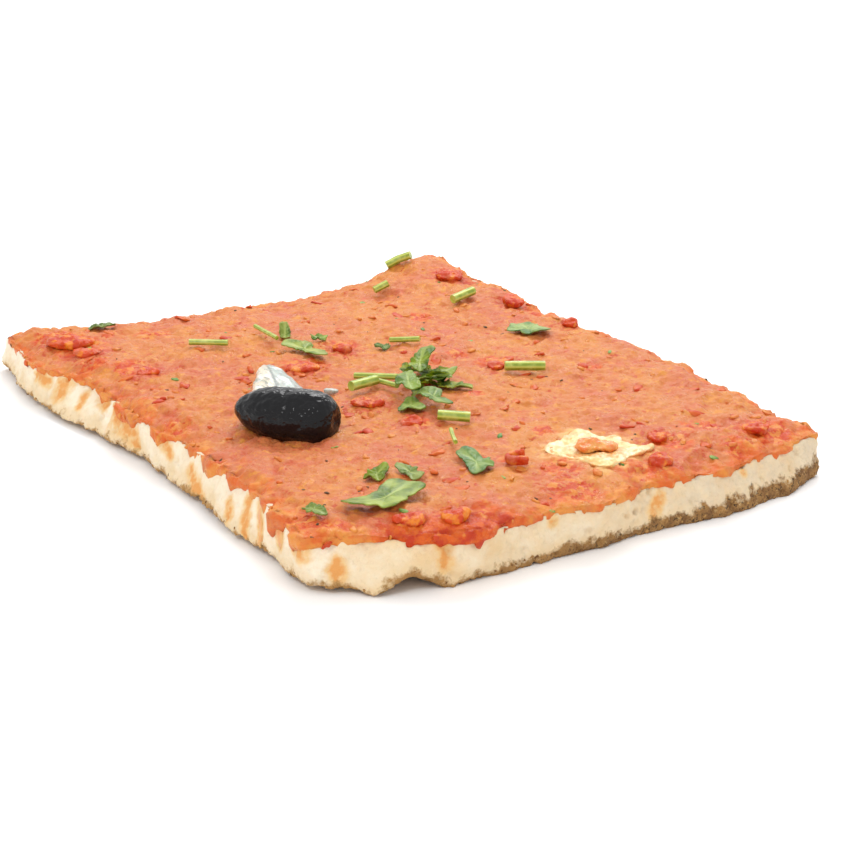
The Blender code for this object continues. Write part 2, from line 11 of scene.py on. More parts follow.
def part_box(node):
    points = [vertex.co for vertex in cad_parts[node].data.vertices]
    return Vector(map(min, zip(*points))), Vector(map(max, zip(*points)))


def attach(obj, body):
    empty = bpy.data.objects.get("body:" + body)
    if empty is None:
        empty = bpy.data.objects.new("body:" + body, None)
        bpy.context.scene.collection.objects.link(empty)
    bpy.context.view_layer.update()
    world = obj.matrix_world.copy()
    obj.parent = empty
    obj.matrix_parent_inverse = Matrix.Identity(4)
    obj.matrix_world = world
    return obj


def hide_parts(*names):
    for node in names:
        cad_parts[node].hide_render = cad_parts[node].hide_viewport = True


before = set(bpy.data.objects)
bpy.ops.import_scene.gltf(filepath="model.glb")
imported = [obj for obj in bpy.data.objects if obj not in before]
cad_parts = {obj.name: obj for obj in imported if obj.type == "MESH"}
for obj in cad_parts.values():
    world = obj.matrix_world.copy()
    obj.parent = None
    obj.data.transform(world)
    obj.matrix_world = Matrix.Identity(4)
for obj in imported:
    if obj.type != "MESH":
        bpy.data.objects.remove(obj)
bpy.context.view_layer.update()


# The table and the light: the slice lies on a plain white table in a white studio, with a large
# soft lamp behind it on the right and a small one in front on the left for the glints.
MM = 0.001
TABLE_WHITE = (0.97, 0.965, 0.96)
TABLE_BRIGHT = (0.98, 0.975, 0.97)
STUDIO_LIGHT = 1.0
LAMP_WATTS = 3.7
LAMP_SIZE = 0.45
LAMP_PLACE = (0.34, 0.42, 0.62)
GLINT_WATTS = 0.80
GLINT_SIZE = 0.12
GLINT_PLACE = (-0.42, -0.30, 0.52)
CAMERA_PLACE = (-0.22542, -0.40642, 0.16161)
CAMERA_LOOKS = (0.46987, 0.82044, -0.32573)
CAMERA_LENS = 95.06


def place(tree, kind, values=None, **settings):
    """Add a node, set its options, and fill its sockets with values or links."""
    node = tree.nodes.new(kind)
    for option, value in settings.items():
        setattr(node, option, value)
    for socket, value in (values or {}).items():
        if isinstance(value, bpy.types.NodeSocket):
            tree.links.new(value, node.inputs[socket])
        else:
            node.inputs[socket].default_value = value
    return node


def new_finish(name, roughness=0.5):
    """A material with its Principled shader and its object coordinates at hand."""
    material = bpy.data.materials.new(name)
    material.use_nodes = True
    tree = material.node_tree
    shader = tree.nodes["Principled BSDF"]
    shader.inputs["Roughness"].default_value = roughness
    where = place(tree, "ShaderNodeTexCoord").outputs["Object"]
    return material, tree, shader, where


def speckle(tree, where, size_mm, detail=3.0, roughness=0.55):
    """Soft uneven spots of about this size, from 0 to 1."""
    values = {"Vector": where, "Scale": 1.0 / (size_mm * MM), "Detail": detail, "Roughness": roughness}
    return place(tree, "ShaderNodeTexNoise", values).outputs["Fac"]


def between(tree, share, low, high, first=0.0, last=1.0):
    """Stretch a value that runs from low to high so that it runs from first to last."""
    values = {"Value": share, "From Min": low, "From Max": high, "To Min": first, "To Max": last}
    return place(tree, "ShaderNodeMapRange", values).outputs["Result"]


def patches(tree, where, size_mm, low, high, first=0.0, last=1.0, detail=3.0, roughness=0.55):
    """Spots of about this size, from first to last, with their edges between low and high."""
    return between(tree, speckle(tree, where, size_mm, detail, roughness), low, high, first, last)


def tint(tree, share, first, second):
    """Mix two colours."""
    mix = place(tree, "ShaderNodeMix", data_type="RGBA")
    for socket, value in ((mix.inputs[0], share), (mix.inputs[6], first), (mix.inputs[7], second)):
        if isinstance(value, bpy.types.NodeSocket):
            tree.links.new(value, socket)
        elif isinstance(value, tuple):
            socket.default_value = (*value, 1.0)
        else:
            socket.default_value = value
    return mix.outputs[2]


def sums(tree, operation, first, second=0.0):
    """One step of arithmetic on two values."""
    return place(tree, "ShaderNodeMath", {0: first, 1: second}, operation=operation).outputs[0]


def light_in(shader, gloss=None, depth=None, reach_mm=None, spread=None):
    """How strongly a finish shines, and how light sinks in: its share, its reach and its colours."""
    names = ("Specular IOR Level", "Subsurface Weight", "Subsurface Scale", "Subsurface Radius")
    for name, value in zip(names, (gloss, depth, reach_mm and reach_mm * MM, spread)):
        if value is not None:
            shader.inputs[name].default_value = value


def dye(tree, shader, colour):
    """Give a finish its colour."""
    tree.links.new(colour, shader.inputs["Base Color"])


def roughen(tree, shader, where, size_mm, detail, roughness, depth_mm, strength):
    """Raise the surface a little with fine uneven grain."""
    grain = speckle(tree, where, size_mm, detail, roughness)
    values = {"Height": grain, "Distance": depth_mm * MM, "Strength": strength}
    tree.links.new(place(tree, "ShaderNodeBump", values).outputs["Normal"], shader.inputs["Normal"])


def put(name, data):
    """Set an object with this data into the scene."""
    piece = bpy.data.objects.new(name, data)
    bpy.context.scene.collection.objects.link(piece)
    return piece


def aim(thing, spot, way):
    """Stand a lamp or the camera at a place and point it."""
    thing.location = spot
    thing.rotation_mode = "QUATERNION"
    thing.rotation_quaternion = Vector(way).to_track_quat("-Z", "Y")


def hang_lamp(name, watts, size, spot):
    """A square soft lamp that shines at the middle of the table."""
    lamp = put(name, bpy.data.lights.new(name, "AREA"))
    lamp.data.energy = watts
    lamp.data.size = size
    aim(lamp, spot, -Vector(spot))


def mesh_from(name, bm):
    """A mesh of a finished shape."""
    mesh = bpy.data.meshes.new(name)
    bm.to_mesh(mesh)
    bm.free()
    return mesh


bpy.context.scene.view_settings.view_transform = "Standard"
studio = bpy.data.worlds.new("studio")
studio.use_nodes = True
studio.node_tree.nodes["Background"].inputs["Color"].default_value = (1.0, 1.0, 1.0, 1.0)
studio.node_tree.nodes["Background"].inputs["Strength"].default_value = STUDIO_LIGHT
bpy.context.scene.world = studio

hang_lamp("lamp", LAMP_WATTS, LAMP_SIZE, LAMP_PLACE)
hang_lamp("glint", GLINT_WATTS, GLINT_SIZE, GLINT_PLACE)

camera = put("camera", bpy.data.cameras.new("camera"))
camera.data.lens = CAMERA_LENS
camera.data.sensor_width = 36.0
camera.data.clip_start = 0.01
aim(camera, CAMERA_PLACE, CAMERA_LOOKS)
bpy.context.scene.camera = camera

table_finish, tree, shader, where = new_finish("table_white", 0.6)
cloud = speckle(tree, where, 60.0)
dye(tree, shader, tint(tree, cloud, TABLE_WHITE, TABLE_BRIGHT))
light_in(shader, gloss=0.1)
bm = bmesh.new()
bmesh.ops.create_grid(bm, x_segments=1, y_segments=1, size=3.0)
table = put("table", mesh_from("table", bm))
table.data.materials.append(table_finish)


# The dough: a thick tray bread of wheat flour, baked and then cut by hand, so that pale crumb
# shows at the four sides. The crust below is toasted, thin at the left and thick at the right.
STEPS_ACROSS = 228
STEPS_ALONG = 300
WALL_ROWS = 22
CRUST_SKIP = 4
HIDDEN_SKIP = 12
CRUMB_LIT_WHITE = (0.94, 0.85, 0.69)
CRUMB_CREAM = (0.87, 0.73, 0.52)
CRUMB_BUTTER = (0.82, 0.60, 0.34)
CRUMB_GREY = (0.70, 0.57, 0.41)
CRUMB_TAN = (0.78, 0.58, 0.33)
CRUST_GOLD = (0.46, 0.25, 0.085)
CRUST_BROWN = (0.17, 0.080, 0.030)
CRUST_CHAR = (0.05, 0.030, 0.018)
FLOUR_DUST = (0.60, 0.40, 0.17)
PORE_SHADE = (0.58, 0.45, 0.27)
OIL_STAIN = (0.82, 0.53, 0.23)
OIL_CORE = (0.76, 0.32, 0.08)


def welded(*nodes):
    """A copy of the triangles of CAD nodes, joined at their corners."""
    bm = bmesh.new()
    for node in nodes:
        bm.from_mesh(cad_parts[node].data)
    bmesh.ops.remove_doubles(bm, verts=bm.verts, dist=1e-6)
    return bm


def outline_of(bm, upper):
    """The points of the slice's edge, at the top of the sides or at their foot, in order round it."""
    sign = 1.0 if upper else -1.0
    points = set()
    for edge in bm.edges:
        slopes = sorted(face.normal.z * sign for face in edge.link_faces)
        if slopes[0] < 0.82 < slopes[-1]:
            points.update(vert.co.copy().freeze() for vert in edge.verts)
    return sorted(points, key=lambda point: math.atan2(point.y, point.x))


def even_loop(points):
    """The same edge in even steps, counted from the near corner round by the right."""
    loop = np.array(points)
    span = np.abs(loop[:, :2]).max(0)
    corners = [int(np.argmax(loop[:, 0] / span[0] * right + loop[:, 1] / span[1] * back))
               for right, back in ((-1, -1), (1, -1), (1, 1), (-1, 1))]
    sides = []
    steps = (STEPS_ACROSS, STEPS_ALONG, STEPS_ACROSS, STEPS_ALONG)
    for first, last, count in zip(corners, corners[1:] + corners[:1], steps):
        part = loop[(first + np.arange((last - first) % len(loop) + 1)) % len(loop)]
        reached = np.append(0.0, np.cumsum(np.linalg.norm(np.diff(part, axis=0), axis=1)))
        wanted = np.linspace(0.0, reached[-1], count, endpoint=False)
        sides.append(np.stack([np.interp(wanted, reached, part[:, axis]) for axis in range(3)], 1))
    loop = np.concatenate(sides)
    for _ in range(3):
        loop = (np.roll(loop, 1, 0) + 2.0 * loop + np.roll(loop, -1, 0)) / 4.0
    return loop


def sheet_between(loop, skip):
    """Points spread between the four sides of an edge, in rows from the front to the back."""
    across = STEPS_ACROSS // skip
    along = STEPS_ALONG // skip
    closed = np.concatenate([loop, loop[:1]])[::skip]
    front = closed[:across + 1]
    right = closed[across:across + along + 1]
    back = closed[across + along:2 * across + along + 1][::-1]
    left = closed[2 * across + along:][::-1]
    share = np.linspace(0.0, 1.0, across + 1)[None, :, None]
    depth = np.linspace(0.0, 1.0, along + 1)[:, None, None]
    rows = (1.0 - depth) * front + depth * back + (1.0 - share) * left[:, None] + share * right[:, None]
    rows = rows - (1.0 - depth) * ((1.0 - share) * front[0] + share * front[-1])
    return rows - depth * ((1.0 - share) * back[0] + share * back[-1])


def add_sheet(spots, faces, border, inner, skip, upward):
    """Fill a closed border with a sheet that has a row at every so many of the border's steps."""
    columns = STEPS_ACROSS // skip
    rows = STEPS_ALONG // skip
    second = STEPS_ACROSS
    third = STEPS_ACROSS + STEPS_ALONG
    fourth = third + STEPS_ACROSS
    numbers = len(spots) + np.arange((rows + 1) * (columns + 1)).reshape(rows + 1, columns + 1)
    spots.extend(inner.reshape(-1, 3))
    for column in range(columns + 1):
        numbers[0, column] = border[column * skip]
        numbers[rows, column] = border[third + (columns - column) * skip]
    for row in range(1, rows):
        numbers[row, columns] = border[second + row * skip]
        numbers[row, 0] = border[fourth + (rows - row) * skip]
    for row in range(rows):
        for column in range(columns):
            face = [numbers[row, column]]
            if row == 0:
                face += border[column * skip + 1:(column + 1) * skip]
            face.append(numbers[row, column + 1])
            if column == columns - 1:
                face += border[second + row * skip + 1:second + (row + 1) * skip]
            face.append(numbers[row + 1, column + 1])
            if row == rows - 1:
                start = third + (columns - 1 - column) * skip
                face += border[start + 1:start + skip]
            face.append(numbers[row + 1, column])
            if column == 0:
                start = fourth + (rows - 1 - row) * skip
                face += border[start + 1:start + skip]
            faces.append(face if upward else face[::-1])


def add_rings(spots, faces, rings):
    """Join closed rings of points, from the lowest to the highest, and give their numbers."""
    around = len(rings[0])
    first = len(spots)
    for ring in rings:
        spots.extend(ring)
    for level in range(len(rings) - 1):
        low = first + level * around
        for step in range(around):
            after = (step + 1) % around
            faces.append([low + step, low + after, low + around + after, low + around + step])
    return [list(range(first + level * around, first + (level + 1) * around)) for level in range(len(rings))]


def mesh_of(name, spots, faces):
    """A mesh of these points and faces, in triangles, with the points that no face uses left out."""
    mesh = bpy.data.meshes.new(name)
    mesh.from_pydata([tuple(spot) for spot in spots], [], faces)
    bm = bmesh.new()
    bm.from_mesh(mesh)
    bmesh.ops.delete(bm, geom=[vert for vert in bm.verts if not vert.link_faces], context="VERTS")
    bmesh.ops.triangulate(bm, faces=bm.faces)
    bm.to_mesh(mesh)
    bm.free()
    return mesh


def height_at(surface, spot, from_below=False):
    """The height of a surface above or below this place, or of its nearest point."""
    way = 1.0 if from_below else -1.0
    hit = surface.ray_cast(Vector((spot[0], spot[1], -way * 0.1)), Vector((0.0, 0.0, way)))[0]
    return (hit or surface.find_nearest(Vector(spot))[0]).z


def nearest_in_plan(points):
    """A finder of the nearest of some points, seen from above."""
    finder = KDTree(len(points))
    for number, point in enumerate(points):
        finder.insert((point[0], point[1], 0.0), number)
    finder.balance()
    return finder


def keep_values(mesh, name, values):
    """Store one number for each point of a mesh, for its tree and its material."""
    mesh.attributes.new(name, "FLOAT", "POINT").data.foreach_set("value", np.asarray(values, dtype=float))


def points_of(mesh):
    """The places of a mesh's points as an array."""
    found = np.empty(len(mesh.vertices) * 3)
    mesh.vertices.foreach_get("co", found)
    return found.reshape(-1, 3)


def start_tree(name, sizes):
    """A geometry tree with one named input for each size or seed."""
    tree = bpy.data.node_groups.new(name, "GeometryNodeTree")
    tree.interface.new_socket(name="Geometry", in_out="INPUT", socket_type="NodeSocketGeometry")
    tree.interface.new_socket(name="Geometry", in_out="OUTPUT", socket_type="NodeSocketGeometry")
    for title, value in sizes.items():
        kind = {int: "NodeSocketInt", float: "NodeSocketFloat"}.get(type(value), "NodeSocketObject")
        tree.interface.new_socket(name=title, in_out="INPUT", socket_type=kind)
    return tree, place(tree, "NodeGroupInput").outputs, place(tree, "NodeGroupOutput").inputs[0]


def make_with(tree, name, mesh, sizes):
    """Run a tree on a mesh or curve and keep what it makes as a plain mesh."""
    piece = put(name, mesh)
    work = piece.modifiers.new(name, "NODES")
    work.node_group = tree
    for item in tree.interface.items_tree:
        if item.in_out == "INPUT" and item.name in sizes:
            work[item.identifier] = sizes[item.name]
    bpy.context.view_layer.update()
    made = bpy.data.meshes.new_from_object(piece.evaluated_get(bpy.context.evaluated_depsgraph_get()))
    made.name = name
    if piece.type == "MESH":
        piece.modifiers.remove(work)
        piece.data = made
    else:
        bpy.data.objects.remove(piece)
        piece = put(name, made)
    made.shade_smooth()
    return piece


def here(tree):
    """The place of each point, read in a geometry tree."""
    return place(tree, "GeometryNodeInputPosition").outputs[0]


def vectors(tree, operation, first, second):
    """One step of arithmetic on two places or directions."""
    return place(tree, "ShaderNodeVectorMath", {0: first, 1: second}, operation=operation).outputs[0]


def scaled(tree, vector, factor):
    """A direction made longer or shorter."""
    return place(tree, "ShaderNodeVectorMath", {0: vector, "Scale": factor}, operation="SCALE").outputs[0]


def noise_height(tree, size, height, offset=0.0):
    """A geometry value of soft lumps of this size, from minus to plus half the height."""
    moved = vectors(tree, "ADD", here(tree), (offset, offset, offset))
    scale = sums(tree, "DIVIDE", 1.0, size)
    lumps = place(tree, "ShaderNodeTexNoise", {"Vector": moved, "Scale": scale, "Detail": 2.0}).outputs["Fac"]
    return sums(tree, "MULTIPLY", sums(tree, "SUBTRACT", lumps, 0.5), height)


def bumps(tree, given, kind, offset=0.0):
    """Soft lumps whose size and height are two inputs of the tree."""
    return noise_height(tree, given[kind + " size"], given[kind + " height"], offset)


def push_out(tree, geometry, height, direction=None):
    """Move every point along its normal, or along a direction, by a height."""
    normal = direction or place(tree, "GeometryNodeInputNormal").outputs[0]
    offset = scaled(tree, normal, height)
    return place(tree, "GeometryNodeSetPosition", {"Geometry": geometry, "Offset": offset}).outputs[0]


def above_table(tree, geometry):
    """Let nothing reach down through the table."""
    spot = here(tree)
    lifted = vectors(tree, "MAXIMUM", spot, (-1.0, -1.0, 0.0))
    return place(tree, "GeometryNodeSetPosition", {"Geometry": geometry, "Position": lifted}).outputs[0]


def end_tree(tree, geometry, finish, made):
    """Close a tree: real geometry with its finish."""
    real = place(tree, "GeometryNodeRealizeInstances", {"Geometry": geometry}).outputs[0]
    dressed = place(tree, "GeometryNodeSetMaterial", {"Geometry": real, "Material": finish})
    tree.links.new(dressed.outputs[0], made)


def named(tree, name):
    """A stored value, read in a geometry tree."""
    return place(tree, "GeometryNodeInputNamedAttribute", {"Name": name}).outputs["Attribute"]


def kept(tree, name):
    """A stored value, read in a material."""
    return place(tree, "ShaderNodeAttribute", attribute_name=name).outputs["Fac"]


def side_of(tree, where, axis):
    """How far a place lies along one axis, in metres."""
    return place(tree, "ShaderNodeSeparateXYZ", {0: where}).outputs[axis]


bm = welded("dough")
dough_skin = BVHTree.FromBMesh(bm)
top_edge = even_loop(outline_of(bm, True))
foot_edge = even_loop(outline_of(bm, False))
bm.free()
near_top_edge = nearest_in_plan(top_edge)
near_foot = nearest_in_plan(foot_edge)
rings = [foot_edge]
for row in range(1, WALL_ROWS):
    ring = foot_edge + (top_edge - foot_edge) * row / WALL_ROWS
    rings.append(np.array([dough_skin.find_nearest(Vector(spot))[0] for spot in ring]))
rings.append(top_edge)
spots = []
faces = []
walls = add_rings(spots, faces, rings)
underside = sheet_between(foot_edge, CRUST_SKIP)
for spot in underside.reshape(-1, 3):
    spot[2] = height_at(dough_skin, spot, True)
add_sheet(spots, faces, walls[0], underside, CRUST_SKIP, False)
hidden_top = sheet_between(top_edge, HIDDEN_SKIP)
for spot in hidden_top.reshape(-1, 3):
    spot[2] = height_at(dough_skin, spot)
add_sheet(spots, faces, walls[-1], hidden_top, HIDDEN_SKIP, True)
dough_mesh = mesh_of("dough_source", spots, faces)
spots = points_of(dough_mesh)
above_crust = [spot[2] - foot_edge[near_foot.find((spot[0], spot[1], 0.0))[1]][2] for spot in spots]
keep_values(dough_mesh, "above_crust", above_crust)
on_side = [near_foot.find((spot[0], spot[1], 0.0))[2] < 7.0 * MM for spot in spots]
keep_values(dough_mesh, "on_side", on_side)

crumb_finish, tree, shader, where = new_finish("bread_crumb", 0.85)
height_up = kept(tree, "above_crust")
across = side_of(tree, where, "X")
cream = tint(tree, patches(tree, where, 7.0, 0.35, 0.65), CRUMB_CREAM, CRUMB_BUTTER)
# The left side is whiter and the right side greyer: partly the crumb's own tone, partly painted light on the
# left and painted shade on the right.
lit_left_side = between(tree, across, -0.048, -0.058, 0.0, 0.75)
cream = tint(tree, lit_left_side, cream, CRUMB_LIT_WHITE)
rightward = between(tree, across, -0.03, 0.03)
greyness = sums(tree, "MULTIPLY", rightward, patches(tree, where, 3.0, 0.3, 0.65, 0.15, 0.9))
crumb = tint(tree, greyness, cream, CRUMB_GREY)
uneven = sums(tree, "ADD", height_up, patches(tree, where, 5.0, 0.3, 0.7, -2.0 * MM, 2.0 * MM))
low_down = between(tree, uneven, 4.5 * MM, 1.0 * MM, 0.0, 0.75)
crumb = tint(tree, low_down, crumb, CRUMB_TAN)
fine = speckle(tree, where, 0.9, 4.0, 0.65)
crumb = tint(tree, between(tree, fine, 0.5, 0.75, 0.0, 0.35), crumb, CRUMB_BUTTER)
holes = patches(tree, where, 1.1, 0.54, 0.72, 0.0, 0.6, detail=4.0, roughness=0.7)
holes = sums(tree, "MULTIPLY", holes, between(tree, rightward, 0.0, 1.0, 0.5, 1.0))
crumb = tint(tree, holes, crumb, PORE_SHADE)
stained = kept(tree, "stain")
stained = sums(tree, "MULTIPLY", stained, patches(tree, where, 1.6, 0.3, 0.7, 0.55, 1.45))
crumb = tint(tree, between(tree, stained, 0.12, 0.5, 0.0, 0.85), crumb, OIL_STAIN)
crumb = tint(tree, between(tree, stained, 0.55, 0.95, 0.0, 0.85), crumb, OIL_CORE)
band = between(tree, across, -0.06, 0.06, 0.7 * MM, 3.8 * MM)
wander = patches(tree, where, 4.0, 0.3, 0.7, -1.6 * MM, 1.6 * MM, detail=4.0, roughness=0.7)
toasted_to = sums(tree, "ADD", band, wander)
toast = between(tree, sums(tree, "SUBTRACT", toasted_to, height_up), -0.5 * MM, 0.7 * MM)
crust_mottle = speckle(tree, where, 2.2, 5.0, 0.75)
well_baked = between(tree, across, -0.056, 0.02, 0.12, 1.0)
brown = sums(tree, "MULTIPLY", between(tree, crust_mottle, 0.62, 0.38), well_baked)
crust = tint(tree, brown, CRUST_GOLD, CRUST_BROWN)
char = patches(tree, where, 1.1, 0.53, 0.62, roughness=0.8)
crust = tint(tree, sums(tree, "MULTIPLY", char, well_baked), crust, CRUST_CHAR)
crust = tint(tree, patches(tree, where, 1.4, 0.60, 0.70, detail=4.0, roughness=0.7), crust, FLOUR_DUST)
dye(tree, shader, tint(tree, toast, crumb, crust))
light_in(shader, gloss=0.25, depth=0.12, reach_mm=1.5, spread=(1.0, 0.6, 0.35))
roughen(tree, shader, where, 0.7, 5.0, 0.7, 0.35, 0.9)

crumb_sizes = {"Swell size": 6.0 * MM, "Swell height": 2.2 * MM, "Crumb size": 1.4 * MM,
               "Crumb height": 0.8 * MM, "Pore size": 2.4 * MM, "Pore depth": 0.8 * MM,
               "Flake height": 1.1 * MM, "Flake size": 0.8 * MM}
tree, given, made = start_tree("crumb_relief", crumb_sizes)
side = named(tree, "on_side")
low = between(tree, named(tree, "above_crust"), 0.4 * MM, 3.0 * MM, 1.0, 0.12)
swell = bumps(tree, given, "Swell")
grain = bumps(tree, given, "Crumb", 0.3)
flakes = sums(tree, "MULTIPLY", bumps(tree, given, "Flake", 0.7), low)
cells = place(tree, "ShaderNodeTexVoronoi", {"Vector": here(tree),
                                             "Scale": sums(tree, "DIVIDE", 1.0, given["Pore size"])})
drawn = place(tree, "FunctionNodeSeparateColor", {0: cells.outputs["Color"]}).outputs[0]
holed = between(tree, drawn, 0.72, 0.8)
pore = sums(tree, "MULTIPLY", between(tree, cells.outputs["Distance"], 0.42, 0.16), holed)
pore = sums(tree, "MULTIPLY", pore, given["Pore depth"])
relief = sums(tree, "SUBTRACT", sums(tree, "ADD", sums(tree, "ADD", swell, grain), flakes), pore)
relief = sums(tree, "MULTIPLY", relief, side)
end_tree(tree, above_table(tree, push_out(tree, given["Geometry"], relief)), crumb_finish, made)
dough = make_with(tree, "bread", dough_mesh, crumb_sizes)
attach(dough, "root")
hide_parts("dough")


# The sauce: crushed tomato cooked down with oil, spread over the whole slice and baked, so it
# is a thick lumpy layer with a wet skin. It was cut with the dough and ends just at its edge.
SAUCE_SKIP = 6
SAUCE_SALMON = (0.59, 0.160, 0.060)
SAUCE_ORANGE = (0.64, 0.230, 0.050)
SAUCE_ROSE = (0.60, 0.140, 0.066)
SAUCE_RED = (0.52, 0.048, 0.012)
SAUCE_EDGE_RED = (0.68, 0.135, 0.020)
SAUCE_OIL = (0.72, 0.29, 0.040)
CHEESY_CREAM = (0.84, 0.52, 0.20)
TONGUE_ORANGE = (0.74, 0.28, 0.055)
PATCH_RED = (0.66, 0.115, 0.014)
PATCH_DEEP_RED = (0.56, 0.050, 0.007)
BAND_RED = (0.50, 0.032, 0.006)
BAND_ORANGE = (0.66, 0.110, 0.010)
# Where the sauce hangs down over the left side: the place along it, half the width and the drop,
# in millimetres.
TONGUES = (
    (66, 2.5, 1.0), (47, 3.0, 1.6), (30, 2.5, 2.2), (18, 4.0, 3.4), (13, 2.2, 2.4), (0, 3.0, 2.8),
    (-12, 3.5, 2.6), (-24, 3.2, 3.0), (-34, 2.6, 2.2), (-44, 1.8, 2.4), (-56, 3.0, 3.8), (-68, 3.5, 2.2))
# Where more of the tomato lies in the sauce: the place and the reach, in millimetres.
RIPE_PATCHES = (
    (-51, 70, 5), (-49, 59, 6), (-52, 45, 3), (-46, 37, 4), (-54, -3, 4), (-12, 18, 5), (2, 27, 4),
    (-55, -64, 4), (-53, -73, 4), (-40, -80, 6), (-27, -82, 7), (5, -9, 2.5), (9, -20, 2), (21, 7, 2.5),
    (-10, -30, 2.5), (25, 0, 3), (53, 64, 5), (-5, -56, 3), (9, -47, 2.5), (1, -66, 4), (-3, -76, 5),
    (16, -73, 5), (29, -64, 4), (39, -60, 4), (41, -72, 4), (52, -67, 6), (42, -15, 2.5), (58, 30, 4),
    (-30, 62, 4), (30, 40, 3))


def wander(waves, seed):
    """Numbers from about -1 to 1 that rise and fall unevenly round the slice."""
    turn = np.arange(len(top_edge)) / len(top_edge) * 2.0 * math.pi
    uneven = turn + 0.05 * np.sin(7.0 * turn + seed)
    return (0.5 * np.sin(waves * uneven + seed) + 0.3 * np.sin(round(waves * 1.7) * uneven + 2.0 * seed)
            + 0.2 * np.sin(round(waves * 2.9) * uneven + 3.0 * seed))


def smooth_share(value):
    """Ease a share in and out."""
    value = min(1.0, max(0.0, value))
    return value * value * (3.0 - 2.0 * value)


ahead = np.roll(top_edge, -1, 0) - np.roll(top_edge, 1, 0)
outward = np.stack([ahead[:, 1], -ahead[:, 0], np.zeros(len(ahead))], 1)
outward /= np.linalg.norm(outward, axis=1)[:, None]
up = np.array((0.0, 0.0, 1.0))
hanging = sum(drop * np.exp(-((top_edge[:, 1] - y * MM) / (reach * MM)) ** 2) for y, reach, drop in TONGUES)
hanging = hanging * (top_edge[:, 0] < -38.0 * MM) * (1.0 + 0.25 * wander(90, 4.0))
heavy = np.exp(-((top_edge[:, 0] + 31.0 * MM) / (13.0 * MM)) ** 2) * (top_edge[:, 1] < -66.0 * MM)
past = 0.10 + 0.7 * wander(42, 1.0) + 0.3 * wander(110, 5.0) + 0.8 * heavy + 0.35 * hanging
past = past[:, None] * MM * outward
body = (0.90 + 0.35 * wander(45, 2.0) + 0.8 * heavy)[:, None] * MM * up
droop = (0.35 + 1.5 * np.maximum(0.0, wander(75, 3.0)) ** 1.5 + 0.6 * heavy + hanging)[:, None] * MM * up
rings = [top_edge - outward * 1.0 * MM - droop * 0.6, top_edge + past * 0.3 - droop,
         top_edge + past * 0.9 - droop * 0.6, top_edge + past + body * 0.3,
         top_edge + past * 0.6 + body * 0.8,
         top_edge - outward * 0.5 * MM + body]
spots = []
faces = []
hems = add_rings(spots, faces, rings)
sauce_skin = BVHTree.FromBMesh(welded("sauce"))
spread = sheet_between(rings[-1], 1)
for spot in spread.reshape(-1, 3):
    _, number, far = near_top_edge.find((spot[0], spot[1], 0.0))
    share = smooth_share(far / (4.0 * MM))
    rim_height = top_edge[number][2] + body[number][2]
    spot[2] = rim_height + (height_at(sauce_skin, spot) - rim_height) * share
add_sheet(spots, faces, hems[-1], spread, 1, True)
first_under = len(spots)
hidden = sheet_between(rings[0], SAUCE_SKIP)
for spot in hidden.reshape(-1, 3):
    spot[2] = height_at(sauce_skin, spot) - 2.2 * MM
add_sheet(spots, faces, hems[0], hidden, SAUCE_SKIP, False)
upper = np.ones(len(spots))
upper[first_under:] = 0.0
for ring, share in zip(hems, (0.0, 0.3, 0.5, 0.6, 0.8, 1.0)):
    upper[ring] = share
used = sorted({number for face in faces for number in face})
sauce_mesh = mesh_of("sauce_source", spots, faces)
keep_values(sauce_mesh, "upper", upper[used])
spots = points_of(sauce_mesh)
from_edge = [near_top_edge.find((spot[0], spot[1], 0.0))[2] for spot in spots]
keep_values(sauce_mesh, "from_edge", from_edge)
thickest = [heavy[near_top_edge.find((spot[0], spot[1], 0.0))[1]] * smooth_share(1.0 - far / (7.0 * MM))
            for spot, far in zip(spots, from_edge)]
keep_values(sauce_mesh, "thickest", thickest)
tomato_nodes = [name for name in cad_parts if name.startswith("tomato_piece")]
for title, nodes, reach in (("beside_olive", ["olive"], 1.8 * MM), ("beside_tomato", tomato_nodes, 3.2 * MM),
                            ("beside_cheese", ["cheese"], 2.2 * MM)):
    skin = BVHTree.FromBMesh(welded(*nodes))
    beside = [math.exp(-(skin.find_nearest(Vector(spot))[3] / reach) ** 2) for spot in spots]
    keep_values(sauce_mesh, title, beside)
ripe = [sum(math.exp(-((spot[0] - x * MM) ** 2 + (spot[1] - y * MM) ** 2) / (size * MM) ** 2)
            for x, y, size in RIPE_PATCHES) for spot in spots]
keep_values(sauce_mesh, "ripe", ripe)

sauce_finish, tree, shader, where = new_finish("tomato_sauce", 0.4)
broad = patches(tree, where, 16.0, 0.36, 0.62)
sauce_colour = tint(tree, broad, SAUCE_SALMON, SAUCE_ORANGE)
sauce_colour = tint(tree, patches(tree, where, 7.0, 0.52, 0.7, 0.0, 0.8),
                    sauce_colour, SAUCE_ROSE)
sauce_colour = tint(tree, patches(tree, where, 2.4, 0.54, 0.66, 0.0, 0.75, detail=4.0, roughness=0.6),
                    sauce_colour, SAUCE_OIL)
pulp_red = sums(tree, "MAXIMUM", speckle(tree, where, 2.0, 3.0, 0.6), sums(tree, "SUBTRACT", speckle(
    tree, where, 0.8, 3.0, 0.6), 0.03))
ripe_near = kept(tree, "beside_tomato")
pulp_red = sums(tree, "ADD", pulp_red, sums(tree, "MULTIPLY", ripe_near, 0.17))
sauce_colour = tint(tree, between(tree, pulp_red, 0.60, 0.70, 0.0, 0.8), sauce_colour, SAUCE_RED)
in_patch = kept(tree, "ripe")
in_patch = between(tree, in_patch, 0.1, 0.7)
patchy_red = patches(tree, where, 3.2, 0.40, 0.60, 0.0, 1.3, detail=4.0, roughness=0.6)
patchy_red = sums(tree, "MULTIPLY", in_patch, patchy_red)
sauce_colour = tint(tree, between(tree, patchy_red, 0.1, 0.6, 0.0, 0.95), sauce_colour, PATCH_RED)
deep_red = sums(tree, "MULTIPLY", in_patch, patches(tree, where, 1.7, 0.48, 0.60, 0.0, 1.3, roughness=0.6))
